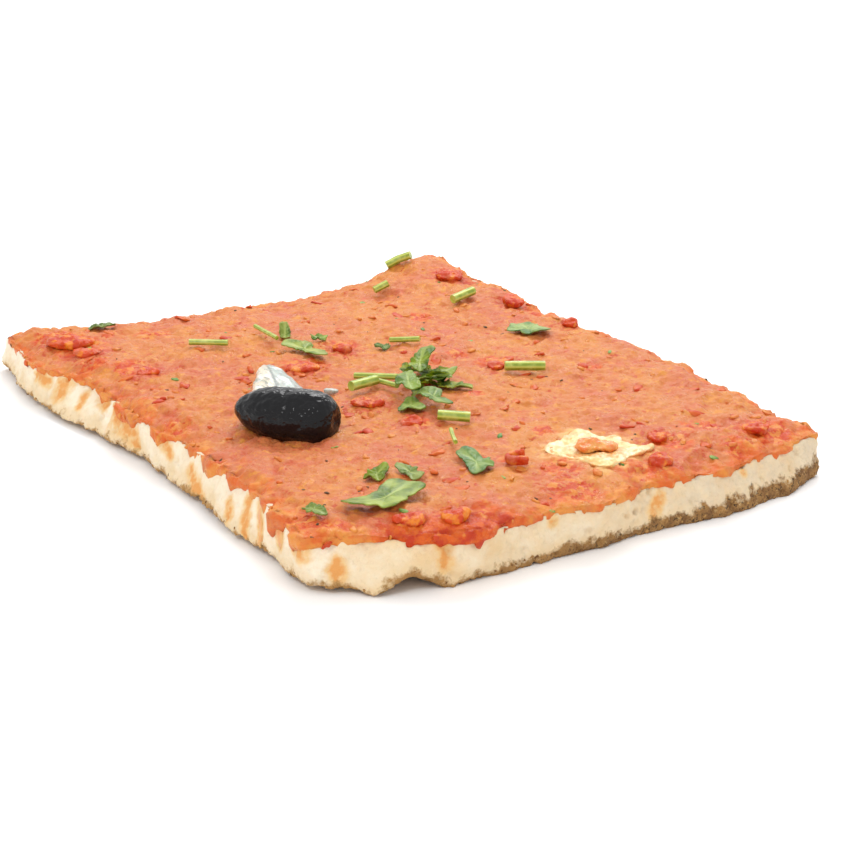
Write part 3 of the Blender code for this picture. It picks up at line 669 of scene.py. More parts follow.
sauce_colour = tint(tree, between(tree, deep_red, 0.2, 0.7, 0.0, 0.9), sauce_colour, PATCH_DEEP_RED)
bright = sums(tree, "MULTIPLY", in_patch, patches(tree, where, 2.3, 0.52, 0.62, 0.0, 1.3, roughness=0.6))
sauce_colour = tint(tree, between(tree, bright, 0.3, 0.8, 0.0, 0.8), sauce_colour, TONGUE_ORANGE)
cheesy = kept(tree, "beside_cheese")
cheesy = sums(tree, "MULTIPLY", cheesy, patches(tree, where, 2.6, 0.38, 0.60))
sauce_colour = tint(tree, cheesy, sauce_colour, CHEESY_CREAM)
margin = kept(tree, "from_edge")
margin = sums(tree, "ADD", margin, patches(tree, where, 5.0, 0.3, 0.7, -3.5 * MM, 3.5 * MM))
edge_colour = tint(tree, patches(tree, where, 3.6, 0.44, 0.60), SAUCE_EDGE_RED, TONGUE_ORANGE)
sauce_colour = tint(tree, between(tree, margin, 0.3 * MM, 3.2 * MM, 0.9, 0.0), sauce_colour, edge_colour)
thick_red = kept(tree, "thickest")
band_red = sums(tree, "MULTIPLY", thick_red, patches(tree, where, 3.0, 0.38, 0.56, 0.2, 1.3))
band_colour = tint(tree, patches(tree, where, 2.0, 0.40, 0.60), BAND_RED, BAND_ORANGE)
sauce_colour = tint(tree, between(tree, band_red, 0.12, 0.6, 0.0, 0.95), sauce_colour, band_colour)
# Painted shade: the dents of the sauce's relief are tinted a deeper red.
sunk = kept(tree, "height")
sauce_colour = tint(tree, between(tree, sunk, -0.25, -0.9, 0.0, 0.5), sauce_colour, SAUCE_RED)
dye(tree, shader, sauce_colour)
wet = patches(tree, where, 2.2, 0.35, 0.65, 0.24, 0.58)
olive_near = kept(tree, "beside_olive")
wet = sums(tree, "SUBTRACT", wet, sums(tree, "MULTIPLY", sums(tree, "MAXIMUM", olive_near, thick_red), 0.16))
tree.links.new(wet, shader.inputs["Roughness"])
light_in(shader, gloss=0.24, depth=0.15, reach_mm=1.2, spread=(1.0, 0.35, 0.15))
roughen(tree, shader, where, 0.9, 4.0, 0.65, 0.5, 0.8)

sauce_sizes = {"Smooth rounds": 40, "Heap size": 10.0 * MM, "Heap height": 4.0 * MM, "Lump size": 3.6 * MM,
               "Lump height": 2.3 * MM, "Pulp size": 1.6 * MM, "Pulp height": 1.2 * MM,
               "Grain size": 0.8 * MM, "Grain height": 0.5 * MM, "Olive mound": 1.5 * MM}
tree, given, made = start_tree("sauce_relief", sauce_sizes)
flat = here(tree)
blurred = place(tree, "GeometryNodeBlurAttribute", data_type="FLOAT_VECTOR")
tree.links.new(flat, [socket for socket in blurred.inputs if socket.name == "Value" and socket.enabled][0])
tree.links.new(given["Smooth rounds"], blurred.inputs["Iterations"])
smooth_place = [socket for socket in blurred.outputs if socket.enabled][0]
rise = sums(tree, "SUBTRACT", side_of(tree, smooth_place, "Z"), side_of(tree, flat, "Z"))
mound = sums(tree, "MULTIPLY", named(tree, "beside_olive"), given["Olive mound"])
upper_part = between(tree, named(tree, "upper"), 0.8, 1.0)
rise = sums(tree, "MULTIPLY", sums(tree, "ADD", rise, mound), upper_part)
up = place(tree, "FunctionNodeInputVector", vector=(0.0, 0.0, 1.0)).outputs[0]
shaped = push_out(tree, given["Geometry"], rise, up)
heaps = bumps(tree, given, "Heap", 0.7)
heaps = sums(tree, "MULTIPLY", heaps, between(tree, named(tree, "from_edge"), 4.0 * MM, 20.0 * MM, 1.0, 0.35))
lumps = sums(tree, "ADD", heaps, bumps(tree, given, "Lump", 0.2))
pulp = bumps(tree, given, "Pulp", 0.5)
grain = bumps(tree, given, "Grain", 0.9)
patchy = place(tree, "ShaderNodeTexNoise", {"Vector": flat, "Scale": 90.0, "Detail": 1.0}).outputs["Fac"]
grain = sums(tree, "MULTIPLY", grain, between(tree, patchy, 0.35, 0.6, 0.3, 1.4))
relief = sums(tree, "ADD", sums(tree, "ADD", lumps, pulp), grain)
relief = sums(tree, "MULTIPLY", relief, named(tree, "upper"))
keep = place(tree, "GeometryNodeStoreNamedAttribute", {"Geometry": shaped, "Name": "height",
                                                       "Value": sums(tree, "MULTIPLY", relief, 1000.0)})
shaped = push_out(tree, keep.outputs[0], relief)
end_tree(tree, shaped, sauce_finish, made)
sauce = make_with(tree, "tomato_sauce", sauce_mesh, sauce_sizes)
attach(sauce, "root")
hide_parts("sauce")


# The drips: where the knife went through, sauce was dragged over the edge of the slice. It runs
# down the pale sides in short oily tongues, and some of it has soaked into the crumb.
DRIP_ORANGE = (0.70, 0.24, 0.045)
DRIP_RED = (0.64, 0.12, 0.025)
DRIP_AMBER = (0.78, 0.47, 0.18)
# Each drip: its side, then its route as (place along the side, height, width) in millimetres.
DRIPS = (
    ("left", (-47.0, 9.2, 2.2), (-50.2, 7.2, 1.6), (-52.0, 4.4, 1.3), (-51.2, 1.6, 1.1)),
    ("left", (-57.0, 8.0, 2.6), (-59.0, 6.4, 2.0), (-60.4, 4.6, 1.2)),
    ("front", (-10.0, 9.2, 3.0), (-10.6, 7.6, 1.6)),
    ("front", (38.0, 8.6, 2.2), (37.6, 7.2, 1.2)),
    ("right", (-40.0, 8.6, 3.6), (-41.0, 6.4, 2.2)),
    ("right", (26.0, 10.6, 4.0), (27.0, 8.6, 2.2)),
    ("back", (34.0, 10.6, 3.8), (34.8, 8.4, 2.0)),
)
# Smears have soaked in and only colour the crumb.
SMEARS = (
    ("left", (60.0, 8.2, 3.0), (54.0, 7.2, 3.0), (50.0, 6.6, 2.4)),
    ("left", (46.5, 8.4, 5.0), (45.0, 6.6, 6.0), (44.5, 4.8, 3.4)),
    ("left", (19.0, 7.8, 9.0), (15.0, 6.4, 6.0), (11.0, 4.8, 4.0), (9.0, 3.6, 2.4)),
    ("left", (-1.0, 8.0, 3.0), (-4.0, 6.8, 2.6), (-6.5, 5.4, 1.8)),
    ("left", (-67.0, 8.6, 5.0), (-71.0, 7.4, 3.2)),
    ("left", (38.5, 8.6, 1.8), (37.0, 6.4, 2.4), (36.0, 4.4, 1.4)),
    ("left", (31.0, 8.8, 6.0), (29.0, 7.8, 4.6), (27.0, 6.6, 2.4)),
    ("left", (-36.0, 5.4, 1.6), (-38.5, 3.4, 2.2)),
    ("left", (-15.5, 5.2, 2.0), (-19.5, 3.8, 3.2), (-24.0, 2.4, 2.2)),
    ("left", (-42.4, 7.8, 2.0), (-44.6, 5.2, 3.2), (-46.2, 2.0, 2.0)),
    ("front", (-53.0, 6.0, 2.0), (-53.2, 4.4, 3.4), (-53.4, 2.8, 2.2)),
    ("front", (-35.0, 9.2, 2.4), (-34.8, 6.8, 2.6), (-34.8, 4.2, 2.4)),
    ("front", (17.4, 8.6, 2.2), (16.0, 6.4, 2.4), (14.6, 3.8, 2.8)),
    ("right", (-12.0, 9.4, 2.6), (-12.4, 6.6, 2.0), (-12.0, 4.6, 1.4)),
    ("right", (52.0, 11.4, 2.2), (52.4, 8.4, 1.6)),
    ("back", (-36.0, 6.0, 3.2), (-36.6, 4.4, 1.8)),
    ("back", (4.0, 9.4, 2.6), (3.4, 6.8, 2.0), (3.6, 5.0, 1.4)),
)
SIDE_WAYS = {"left": (1.0, 0.0), "right": (-1.0, 0.0), "front": (0.0, 1.0), "back": (0.0, -1.0)}


def on_the_side(bread, side, along_side, height):
    """The point of the bread's side at this place, in millimetres, looked for from outside."""
    inward = Vector((*SIDE_WAYS[side], 0.0))
    start = Vector((along_side, along_side, height)) * MM
    if inward.x:
        start.x = -inward.x * 0.1
    else:
        start.y = -inward.y * 0.1
    hit = bread.ray_cast(start, inward)[0]
    return hit or bread.find_nearest(start + inward * 0.04)[0]


def strands(name, routes):
    """Curves through routes of (point, radius)."""
    curve = bpy.data.curves.new(name, "CURVE")
    curve.dimensions = "3D"
    for route in routes:
        spline = curve.splines.new("POLY")
        spline.points.add(len(route) - 1)
        for point, (spot, radius) in zip(spline.points, route):
            point.co = (*spot, 1.0)
            point.radius = radius
    return curve


def tree_for_smears(name, sizes, finish_used):
    """Round strands along curves, pressed flat onto a surface and left uneven."""
    tree, given, made = start_tree(name, sizes)
    even = place(tree, "GeometryNodeResampleCurve", {"Curve": given["Geometry"], "Length": given["Step"]},
                 mode="LENGTH").outputs[0]
    ring = place(tree, "GeometryNodeCurvePrimitiveCircle", {"Resolution": 14, "Radius": 1.0}).outputs[0]
    thickness = place(tree, "GeometryNodeInputRadius").outputs[0]
    body = place(tree, "GeometryNodeCurveToMesh",
                 {"Curve": even, "Profile Curve": ring, "Fill Caps": True, "Scale": thickness})
    shaped = push_out(tree, body.outputs[0], bumps(tree, given, "Lump", 0.3))
    surface = place(tree, "GeometryNodeObjectInfo", {"Object": given["Surface"]}).outputs["Geometry"]
    spot = here(tree)
    nearest = place(tree, "GeometryNodeProximity", {0: surface}, target_element="FACES").outputs["Position"]
    away = vectors(tree, "SUBTRACT", spot, nearest)
    flat = scaled(tree, away, given["Flatness"])
    pressed = vectors(tree, "ADD", nearest, flat)
    thick = place(tree, "ShaderNodeVectorMath", {0: flat}, operation="LENGTH").outputs["Value"]
    shaped = place(tree, "GeometryNodeStoreNamedAttribute", {"Geometry": shaped, "Name": "thick",
                                                             "Value": thick}).outputs[0]
    shaped = place(tree, "GeometryNodeSetPosition", {"Geometry": shaped, "Position": pressed}).outputs[0]
    shaped = push_out(tree, shaped, noise_height(tree, 0.9 * MM, 0.16 * MM, 0.8))
    end_tree(tree, shaped, finish_used, made)
    return tree


drip_finish, tree, shader, where = new_finish("oily_sauce", 0.28)
drip_colour = tint(tree, patches(tree, where, 4.0, 0.42, 0.62, detail=2.0), DRIP_ORANGE, DRIP_RED)
drip_colour = tint(tree, patches(tree, where, 2.6, 0.5, 0.7, 0.0, 0.6, detail=2.0), drip_colour,
                   DRIP_AMBER)
layer = kept(tree, "thick")
drip_colour = tint(tree, between(tree, layer, 0.05 * MM, 0.28 * MM, 0.9, 0.0), drip_colour, DRIP_AMBER)
dye(tree, shader, drip_colour)
light_in(shader, depth=0.2, reach_mm=1.0, spread=(1.0, 0.4, 0.15))
roughen(tree, shader, where, 0.7, 3.0, 0.55, 0.2, 0.7)

bread = BVHTree.FromPolygons([vert.co[:] for vert in dough.data.vertices],
                             [face.vertices[:] for face in dough.data.polygons])


def routes_on_sides(listed):
    """The routes as points on the bread with their half widths."""
    return [[(on_the_side(bread, side, along_side, height), width / 2 * MM)
             for along_side, height, width in stops] for side, *stops in listed]


routes = routes_on_sides(DRIPS)
drip_sizes = {"Step": 0.4 * MM, "Lump size": 1.8 * MM, "Lump height": 0.9 * MM, "Flatness": 0.2,
              "Surface": dough}
drip_tree = tree_for_smears("drips", drip_sizes, drip_finish)
drips = make_with(drip_tree, "sauce_drips", strands("drip_routes", routes), drip_sizes)
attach(drips, "root")
oily = []
for route in routes + routes_on_sides(SMEARS):
    for (first, broad), (last, narrow) in zip(route, route[1:]):
        oily += [(first.lerp(last, part / 6), broad + (narrow - broad) * part / 6) for part in range(7)]
oily_places = KDTree(len(oily))
for number, (spot, radius) in enumerate(oily):
    oily_places.insert(spot, number)
oily_places.balance()
stain = []
for spot in points_of(dough.data):
    _, number, far = oily_places.find(spot)
    stain.append(math.exp(-(far / (oily[number][1] + 0.5 * MM)) ** 2))
keep_values(dough.data, "stain", stain)


# The olive: a black pitted table olive, pressed a little into the sauce. Its skin is oiled and
# finely wrinkled, one end is round, and the other is blunt where the pit came out.
OLIVE_BLACK = (0.006, 0.006, 0.007)
OLIVE_BROWN = (0.055, 0.016, 0.008)

olive_finish, tree, shader, where = new_finish("olive_skin", 0.2)
low_part = between(tree, side_of(tree, where, "Z"), 12.0 * MM, 9.8 * MM)
dapple = sums(tree, "MULTIPLY", low_part, patches(tree, where, 3.0, 0.35, 0.6))
dye(tree, shader, tint(tree, dapple, OLIVE_BLACK, OLIVE_BROWN))
light_in(shader, gloss=0.24)
sheen = patches(tree, where, 2.4, 0.35, 0.65, 0.07, 0.20, detail=4.0, roughness=0.7)
tree.links.new(sheen, shader.inputs["Roughness"])
stretched = place(tree, "ShaderNodeMapping", {"Vector": where, "Rotation": (0.0, 0.0, 0.5),
                                              "Scale": (1.0, 0.45, 1.0)}).outputs[0]
roughen(tree, shader, stretched, 1.1, 3.0, 0.5, 0.26, 0.8)

wrinkle_sizes = {"Wrinkle size": 3.0 * MM, "Wrinkle height": 0.8 * MM, "Dimple size": 1.2 * MM,
                 "Dimple height": 0.16 * MM}
tree, given, made = start_tree("olive_wrinkles", wrinkle_sizes)
wrinkles = sums(tree, "ADD", bumps(tree, given, "Wrinkle", 0.1),
                bumps(tree, given, "Dimple", 0.4))
shaped = place(tree, "GeometryNodeSubdivisionSurface", {"Mesh": given["Geometry"], "Level": 4}).outputs[0]
shaped = push_out(tree, shaped, wrinkles)
end_tree(tree, shaped, olive_finish, made)
bm = welded("olive")
low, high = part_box("olive")
middle = (low + high) / 2.0
corners = np.array([vert.co[:2] for vert in bm.verts]) - np.array(middle[:2])
length_way = np.linalg.svd(corners)[2][0]
length_way = Vector((*length_way, 0.0)) * math.copysign(1.0, length_way[0])
half_length = max(abs((vert.co - middle).dot(length_way)) for vert in bm.verts)
for vert in bm.verts:
    share = (vert.co - middle).dot(length_way) / half_length
    fuller = math.sqrt(1.0 + 0.9 * share ** 2) if share > 0.0 else 1.0 - 0.10 * share ** 2
    spine_spot = middle + length_way * share * half_length
    vert.co = spine_spot + (vert.co - spine_spot) * fuller
olive = make_with(tree, "black_olive", mesh_from("olive_source", bm), wrinkle_sizes)
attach(olive, "root")
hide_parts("olive")


# The anchovy: a salted fillet in oil, laid on the sauce with its tail away from the near corner.
# It has a grey seam down the middle, a cream side and a silver side, and a flake came loose.
FISH_SILVER = (0.50, 0.55, 0.51)
FISH_PAINTED_HIGHLIGHT = (0.88, 0.88, 0.84)
FISH_CREAM = (0.80, 0.72, 0.56)
FISH_GREY = (0.20, 0.22, 0.20)
FISH_FRONT = Vector((-31.8, -12.8)) * MM
FISH_TAIL = Vector((-23.0, 15.8)) * MM

fish_finish, tree, shader, where = new_finish("anchovy_skin", 0.28)
seam = kept(tree, "across")
streak = place(tree, "ShaderNodeMapping", {"Vector": where, "Rotation": (0.0, 0.0, 0.3),
                                           "Scale": (1.0, 0.22, 1.0)}).outputs[0]
grey_streaks = speckle(tree, streak, 0.9, 4.0, 0.6)
flesh = tint(tree, between(tree, seam, -0.35, 0.1), FISH_CREAM, FISH_SILVER)
# Grey streaks along the fillet, partly its dark lines and partly painted shade.
flesh = tint(tree, between(tree, grey_streaks, 0.46, 0.62, 0.0, 0.75), flesh, FISH_GREY)
# Painted highlight: pale streaks along the fillet stand in for the shine of its wet silver skin.
painted_highlight = patches(tree, streak, 1.7, 0.54, 0.66, roughness=0.6)
flesh = tint(tree, painted_highlight, flesh, FISH_PAINTED_HIGHLIGHT)
dark_seam = between(tree, sums(tree, "ABSOLUTE", sums(tree, "ADD", seam, 0.12)), 0.16, 0.03, 0.0, 0.9)
dye(tree, shader, tint(tree, dark_seam, flesh, FISH_GREY))
light_in(shader, depth=0.15, reach_mm=1.0)
roughen(tree, shader, streak, 0.9, 4.0, 0.6, 0.25, 0.9)


def settle(bm, drop):
    """Let the underside of a piece down onto what it lies on."""
    bm.normal_update()
    for vert in bm.verts:
        vert.co.z -= drop * max(0.0, -vert.normal.z)


def flesh_tree(name, sizes, finish_used):
    """Round a coarse form off, and give it uneven lumps and grain."""
    tree, given, made = start_tree(name, sizes)
    shaped = place(tree, "GeometryNodeSubdivisionSurface",
                   {"Mesh": given["Geometry"], "Level": given["Rounds"]})
    relief = sums(tree, "ADD", bumps(tree, given, "Lump", 0.1),
                  bumps(tree, given, "Grain", 0.6))
    shaped = push_out(tree, shaped.outputs[0], relief)
    end_tree(tree, shaped, finish_used, made)
    return tree


def soft_piece(name, nodes, drop_mm, sizes, finish_used, values=None, sunk=1.0, lower_mm=0.0):
    """Replace CAD nodes with their own form, let down into the sauce, rounded and made uneven."""
    bm = bmesh.new()
    for node in nodes:
        first = len(bm.verts)
        bm.from_mesh(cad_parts[node].data)
        bm.verts.ensure_lookup_table()
        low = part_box(node)[0].z
        for vert in bm.verts[first:]:
            vert.co.z = low - lower_mm * MM + (vert.co.z - low) * sunk
    bmesh.ops.remove_doubles(bm, verts=bm.verts, dist=1e-6)
    settle(bm, drop_mm * MM)
    source = mesh_from(name + "_source", bm)
    for title, reader in (values or {}).items():
        keep_values(source, title, [reader(spot) for spot in points_of(source)])
    piece = make_with(flesh_tree(name + "_form", sizes, finish_used), name, source, sizes)
    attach(piece, "root")
    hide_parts(*nodes)


def across_fish(spot):
    """How far a place is from the fillet's seam, from minus one to plus one."""
    spine = FISH_TAIL - FISH_FRONT
    along_spine = (Vector(spot[:2]) - FISH_FRONT)
    share = min(1.0, max(0.0, along_spine.dot(spine) / spine.length_squared))
    side = along_spine.x * spine.y - along_spine.y * spine.x
    return side / spine.length / ((6.5 - 4.5 * share) * MM)


fish_sizes = {"Rounds": 3, "Lump size": 3.0 * MM, "Lump height": 0.8 * MM, "Grain size": 1.0 * MM,
              "Grain height": 0.22 * MM}
soft_piece("anchovy_fillet", ("anchovy",), 0.7, fish_sizes, fish_finish,
           {"across": across_fish})
soft_piece("anchovy_loose_flake", ("anchovy_flake",), 0.6, dict(fish_sizes, **{"Lump height": 1.2 * MM}),
           fish_finish, sunk=0.6)


# The cheese: a thin slice of mild cheese that melted into the sauce at the front and set again
# with an oily skin. A lump of orange tomato sank into its middle.
CHEESE_CREAM = (0.88, 0.74, 0.45)
CHEESE_YELLOW = (0.84, 0.60, 0.24)
CHEESE_ORANGE = (0.80, 0.40, 0.12)
CHEESE_SUNK = (0.78, 0.38, 0.12)
CHEESE_STEWED = (0.78, 0.34, 0.08)

cheese_finish, tree, shader, where = new_finish("melted_cheese", 0.35)
milky = tint(tree, patches(tree, where, 4.5, 0.4, 0.62), CHEESE_CREAM, CHEESE_YELLOW)
milky = tint(tree, patches(tree, where, 2.4, 0.54, 0.66, detail=4.0), milky, CHEESE_ORANGE)
proud = kept(tree, "proud")
proud = sums(tree, "ADD", proud, patches(tree, where, 2.0, 0.3, 0.7, -0.35, 0.35))
milky = tint(tree, between(tree, proud, 0.50, 0.15, 0.0, 0.9), milky, CHEESE_SUNK)
low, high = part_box("tomato_on_cheese")
from_lump = place(tree, "ShaderNodeVectorMath", {0: where, 1: (low + high) / 2.0}, operation="DISTANCE")
stewed = sums(tree, "ADD", from_lump.outputs["Value"],
              patches(tree, where, 2.6, 0.3, 0.7, -2.5 * MM, 2.5 * MM))
milky = tint(tree, between(tree, stewed, 6.5 * MM, 4.5 * MM, 0.0, 0.9), milky, CHEESE_STEWED)
dye(tree, shader, milky)
light_in(shader, depth=0.25, reach_mm=1.5)
roughen(tree, shader, where, 1.0, 4.0, 0.55, 0.3, 0.7)


def standing_proud(spot):
    """How far a place of the cheese stands above the sauce, as a share of one millimetre."""
    return min(1.0, max(0.0, (spot[2] - height_at(sauce_skin, spot)) / MM))


cheese_sizes = {"Rounds": 3, "Lump size": 3.6 * MM, "Lump height": 3.0 * MM, "Grain size": 1.2 * MM,
                "Grain height": 0.35 * MM}
soft_piece("cheese_melt", ("cheese",), 1.2, cheese_sizes, cheese_finish,
           {"proud": standing_proud}, sunk=0.5)


# The tomato: ripe tomatoes chopped small, baked in the sauce until they are soft and glossy.
# A strip of skin came off one and curled into a hook.
TOMATO_RED = (0.50, 0.030, 0.006)
TOMATO_SCARLET = (0.64, 0.080, 0.010)
TOMATO_ORANGE = (0.76, 0.23, 0.022)
AMBER_DARK = (0.72, 0.19, 0.03)
AMBER_LIGHT = (0.80, 0.40, 0.11)

tomato_finish, tree, shader, where = new_finish("tomato_flesh", 0.32)
ripe = tint(tree, patches(tree, where, 6.0, 0.38, 0.62), TOMATO_RED, TOMATO_SCARLET)
ripe = tint(tree, patches(tree, where, 2.4, 0.50, 0.62), ripe, TOMATO_ORANGE)
ripe = tint(tree, patches(tree, where, 3.4, 0.52, 0.66, 0.0, 0.8), ripe, SAUCE_ROSE)
dye(tree, shader, ripe)
light_in(shader, gloss=0.25, depth=0.25, reach_mm=1.2, spread=(1.0, 0.3, 0.1))
roughen(tree, shader, where, 0.7, 4.0, 0.55, 0.35, 0.9)
tomato_sizes = {"Rounds": 3, "Lump size": 3.2 * MM, "Lump height": 2.6 * MM, "Grain size": 1.1 * MM,
                "Grain height": 0.5 * MM}
soft_piece("tomato_chunks", tomato_nodes, 1.1, tomato_sizes, tomato_finish, sunk=0.42)
skin_sizes = dict(tomato_sizes, **{"Lump height": 0.5 * MM, "Grain height": 0.4 * MM})
soft_piece("tomato_skin_hook", ("tomato_skin_curl",), 0.5, skin_sizes, tomato_finish)

amber_finish, tree, shader, where = new_finish("tomato_in_cheese", 0.25)
amber = tint(tree, patches(tree, where, 2.6, 0.4, 0.62), AMBER_DARK, AMBER_LIGHT)
dye(tree, shader, amber)
light_in(shader, depth=0.25, reach_mm=1.2)
roughen(tree, shader, where, 0.9, 4.0, 0.55, 0.3, 0.8)
soft_piece("tomato_in_cheese", ("tomato_on_cheese",), 0.7, tomato_sizes, amber_finish,
           sunk=0.8, lower_mm=1.3)


# The parsley leaves: flat-leaf parsley torn and chopped, scattered raw over the baked slice.
# A whole sprig tip landed in the middle; the leaves are thin, toothed, veined and a little wilted.
LEAF_THICKNESS = 0.26 * MM
LEAF_RAYS = 108
LEAF_RINGS = 13
# Colours of each leaf: dark green, light green.
LEAF_GREENS = {
    "sprig_leaf_up": ((0.061, 0.131, 0.005), (0.263, 0.344, 0.018)),
    "sprig_leaf_right": ((0.105, 0.189, 0.018), (0.316, 0.385, 0.063)),
    "sprig_leaf_tip": ((0.088, 0.18, 0.032), (0.386, 0.394, 0.036)),
    "sprig_leaf_low": ((0.079, 0.164, 0.027), (0.228, 0.328, 0.063)),
    "sprig_leaf_front": ((0.052, 0.123, 0.006), (0.228, 0.312, 0.036)),
    "sprig_leaf_left": ((0.061, 0.139, 0.013), (0.228, 0.328, 0.045)),
    "leaf_crinkled": ((0.061, 0.164, 0.036), (0.298, 0.394, 0.108)),
    "leaf_by_stalk": ((0.035, 0.082, 0.009), (0.123, 0.197, 0.027)),
    "leaf_long": ((0.123, 0.205, 0.018), (0.386, 0.426, 0.09)),
    "leaf_long_tip": ((0.105, 0.18, 0.018), (0.316, 0.361, 0.063)),
    "leaf_scrap": ((0.079, 0.164, 0.013), (0.28, 0.361, 0.054)),
    "leaf_left_back": ((0.052, 0.107, 0.013), (0.175, 0.23, 0.045)),
    "leaf_front_left": ((0.061, 0.131, 0.005), (0.228, 0.295, 0.018)),
    "leaf_front_right": ((0.123, 0.189, 0.036), (0.28, 0.328, 0.081)),
    "leaf_large": ((0.071, 0.139, 0.009), (0.334, 0.41, 0.068)),
    "leaf_with_stalk": ((0.071, 0.164, 0.041), (0.228, 0.328, 0.081)),
    "leaf_near_corner": ((0.071, 0.139, 0.013), (0.228, 0.295, 0.054)),
}


def reach_by_angle(node, centre):
    """How far a CAD leaf reaches from its middle in each direction."""
    spots = np.array([vert.co[:2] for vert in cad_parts[node].data.vertices]) - centre
    turns = np.arctan2(spots[:, 1], spots[:, 0])
    far = np.hypot(spots[:, 0], spots[:, 1])
    angles = np.linspace(-math.pi, math.pi, LEAF_RAYS, endpoint=False)
    reach = np.zeros(LEAF_RAYS)
    for number, angle in enumerate(angles):
        apart = np.abs((turns - angle + math.pi) % (2 * math.pi) - math.pi)
        close = far[apart < 0.30]
        reach[number] = close.max() if len(close) else 0.0
    for _ in range(3):
        reach = (np.roll(reach, 1) + 2.0 * reach + np.roll(reach, -1)) / 4.0
    return angles, reach


def lobes_of(angles, reach):
    """The directions in which a leaf's outline stands out most."""
    peaks = []
    for number, value in enumerate(reach):
        nearby = [reach[(number + step) % LEAF_RAYS] for step in range(-9, 10)]
        if value >= max(nearby) and value > reach.mean() * 0.95:
            peaks.append((angles[number], value))
    return peaks


def make_leaf(node, finish_used, number):
    """A toothed, veined blade in the place of a CAD leaf."""
    solid = welded(node)
    surface = BVHTree.FromBMesh(solid)
    solid.free()
    low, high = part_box(node)
    centre = np.array([(low.x + high.x) / 2, (low.y + high.y) / 2])
    heart = np.array([vert.co[:2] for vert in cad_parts[node].data.vertices]).mean(0)
    centre = centre * 0.3 + heart * 0.7
    angles, reach = reach_by_angle(node, centre)
    lobes = lobes_of(angles, reach)
    bm = bmesh.new()
    veins = []
    rows = [[bm.verts.new((0.0, 0.0, 0.0))]]
    veins.append(1.0)
    for ring in range(1, LEAF_RINGS + 1):
        share = ring / LEAF_RINGS
        row = []
        for angle, far in zip(angles, reach):
            teeth = 0.04 * math.sin(7.0 * angle + number) + 0.02 * math.sin(15.0 * angle + 2.0 * number)
            out = far * share * (0.97 + teeth * share ** 4)
            vein = 0.0
            rib = 0.0
            for direction, length in lobes:
                apart = (angle - direction + math.pi) % (2 * math.pi) - math.pi
                if abs(apart) > 1.2:
                    continue
                aside = abs(math.sin(apart)) * out
                forward = math.cos(apart) * out
                vein = max(vein, math.exp(-(aside / (0.20 * MM)) ** 2) * (1.0 - 0.5 * forward / length))
                comb = 0.5 + 0.5 * math.cos((forward - 0.8 * aside) / (1.15 * MM) * 2.0 * math.pi)
                rib = max(rib, comb ** 10 * 0.55 * math.exp(-(aside / (2.0 * MM)) ** 2))
            veins.append(max(vein, rib))
            row.append(bm.verts.new((out * math.cos(angle), out * math.sin(angle), 0.0)))
        rows.append(row)
    for spot, vert in enumerate(bm.verts):
        x = centre[0] + vert.co.x
        y = centre[1] + vert.co.y
        hit = surface.ray_cast(Vector((x, y, 0.06)), Vector((0.0, 0.0, -1.0)))[0]
        hit = hit or surface.find_nearest(Vector((x, y, high.z)))[0]
        out = math.hypot(vert.co.x, vert.co.y)
        turn = math.atan2(vert.co.y, vert.co.x)
        curl = 0.6 * MM * (out / reach.max()) ** 2 * math.sin(4.0 * turn + number)
        vert.co = Vector((x, y, hit.z + curl - 0.16 * MM * veins[spot] - 0.1 * MM))
    for spot in range(LEAF_RAYS):
        after = (spot + 1) % LEAF_RAYS
        bm.faces.new((rows[0][0], rows[1][spot], rows[1][after]))
        for inner, outer in zip(rows[1:], rows[2:]):
            bm.faces.new((inner[spot], outer[spot], outer[after], inner[after]))
    bmesh.ops.smooth_vert(bm, verts=bm.verts, factor=0.4, use_axis_z=True)
    bmesh.ops.triangulate(bm, faces=bm.faces)
    piece = put(node + "_blade", mesh_from(node + "_blade", bm))
    keep_values(piece.data, "vein", veins)
    blade = piece.modifiers.new("blade", "SOLIDIFY")
    blade.thickness = LEAF_THICKNESS
    blade.offset = -1.0
    bpy.context.view_layer.update()
    graph = bpy.context.evaluated_depsgraph_get()
    piece.data = bpy.data.meshes.new_from_object(piece.evaluated_get(graph))
    piece.modifiers.clear()
    piece.data.shade_smooth()
    piece.data.materials.append(finish_used)
    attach(piece, "root")
    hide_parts(node)


for number, (node, (dark, light)) in enumerate(LEAF_GREENS.items()):
    leaf_finish, tree, shader, where = new_finish(node + "_green", 0.38)
    green = tint(tree, patches(tree, where, 4.5, 0.36, 0.64, detail=2.0), dark, light)
    vein = kept(tree, "vein")
    pale = tuple(0.6 * part + 0.4 * top for part, top in zip(light, (0.60, 0.68, 0.26)))
    green = tint(tree, between(tree, vein, 0.25, 0.9, 0.0, 0.75), green, pale)
    dye(tree, shader, green)
    light_in(shader, gloss=0.25, depth=0.1, reach_mm=0.5)
    roughen(tree, shader, where, 0.7, 3.0, 0.55, 0.18, 0.8)
    make_leaf(node, leaf_finish, number)


# The sprig's small leaflets: the tip of the sprig is crowded with narrow leaflets that stand up
# between the large ones, dark green below and yellow green where they are young.
SPRIG_HEART = Vector((4.5, -9.0)) * MM
LEAFLET_DARK = (0.06, 0.16, 0.010)
LEAFLET_BRIGHT = (0.40, 0.50, 0.035)

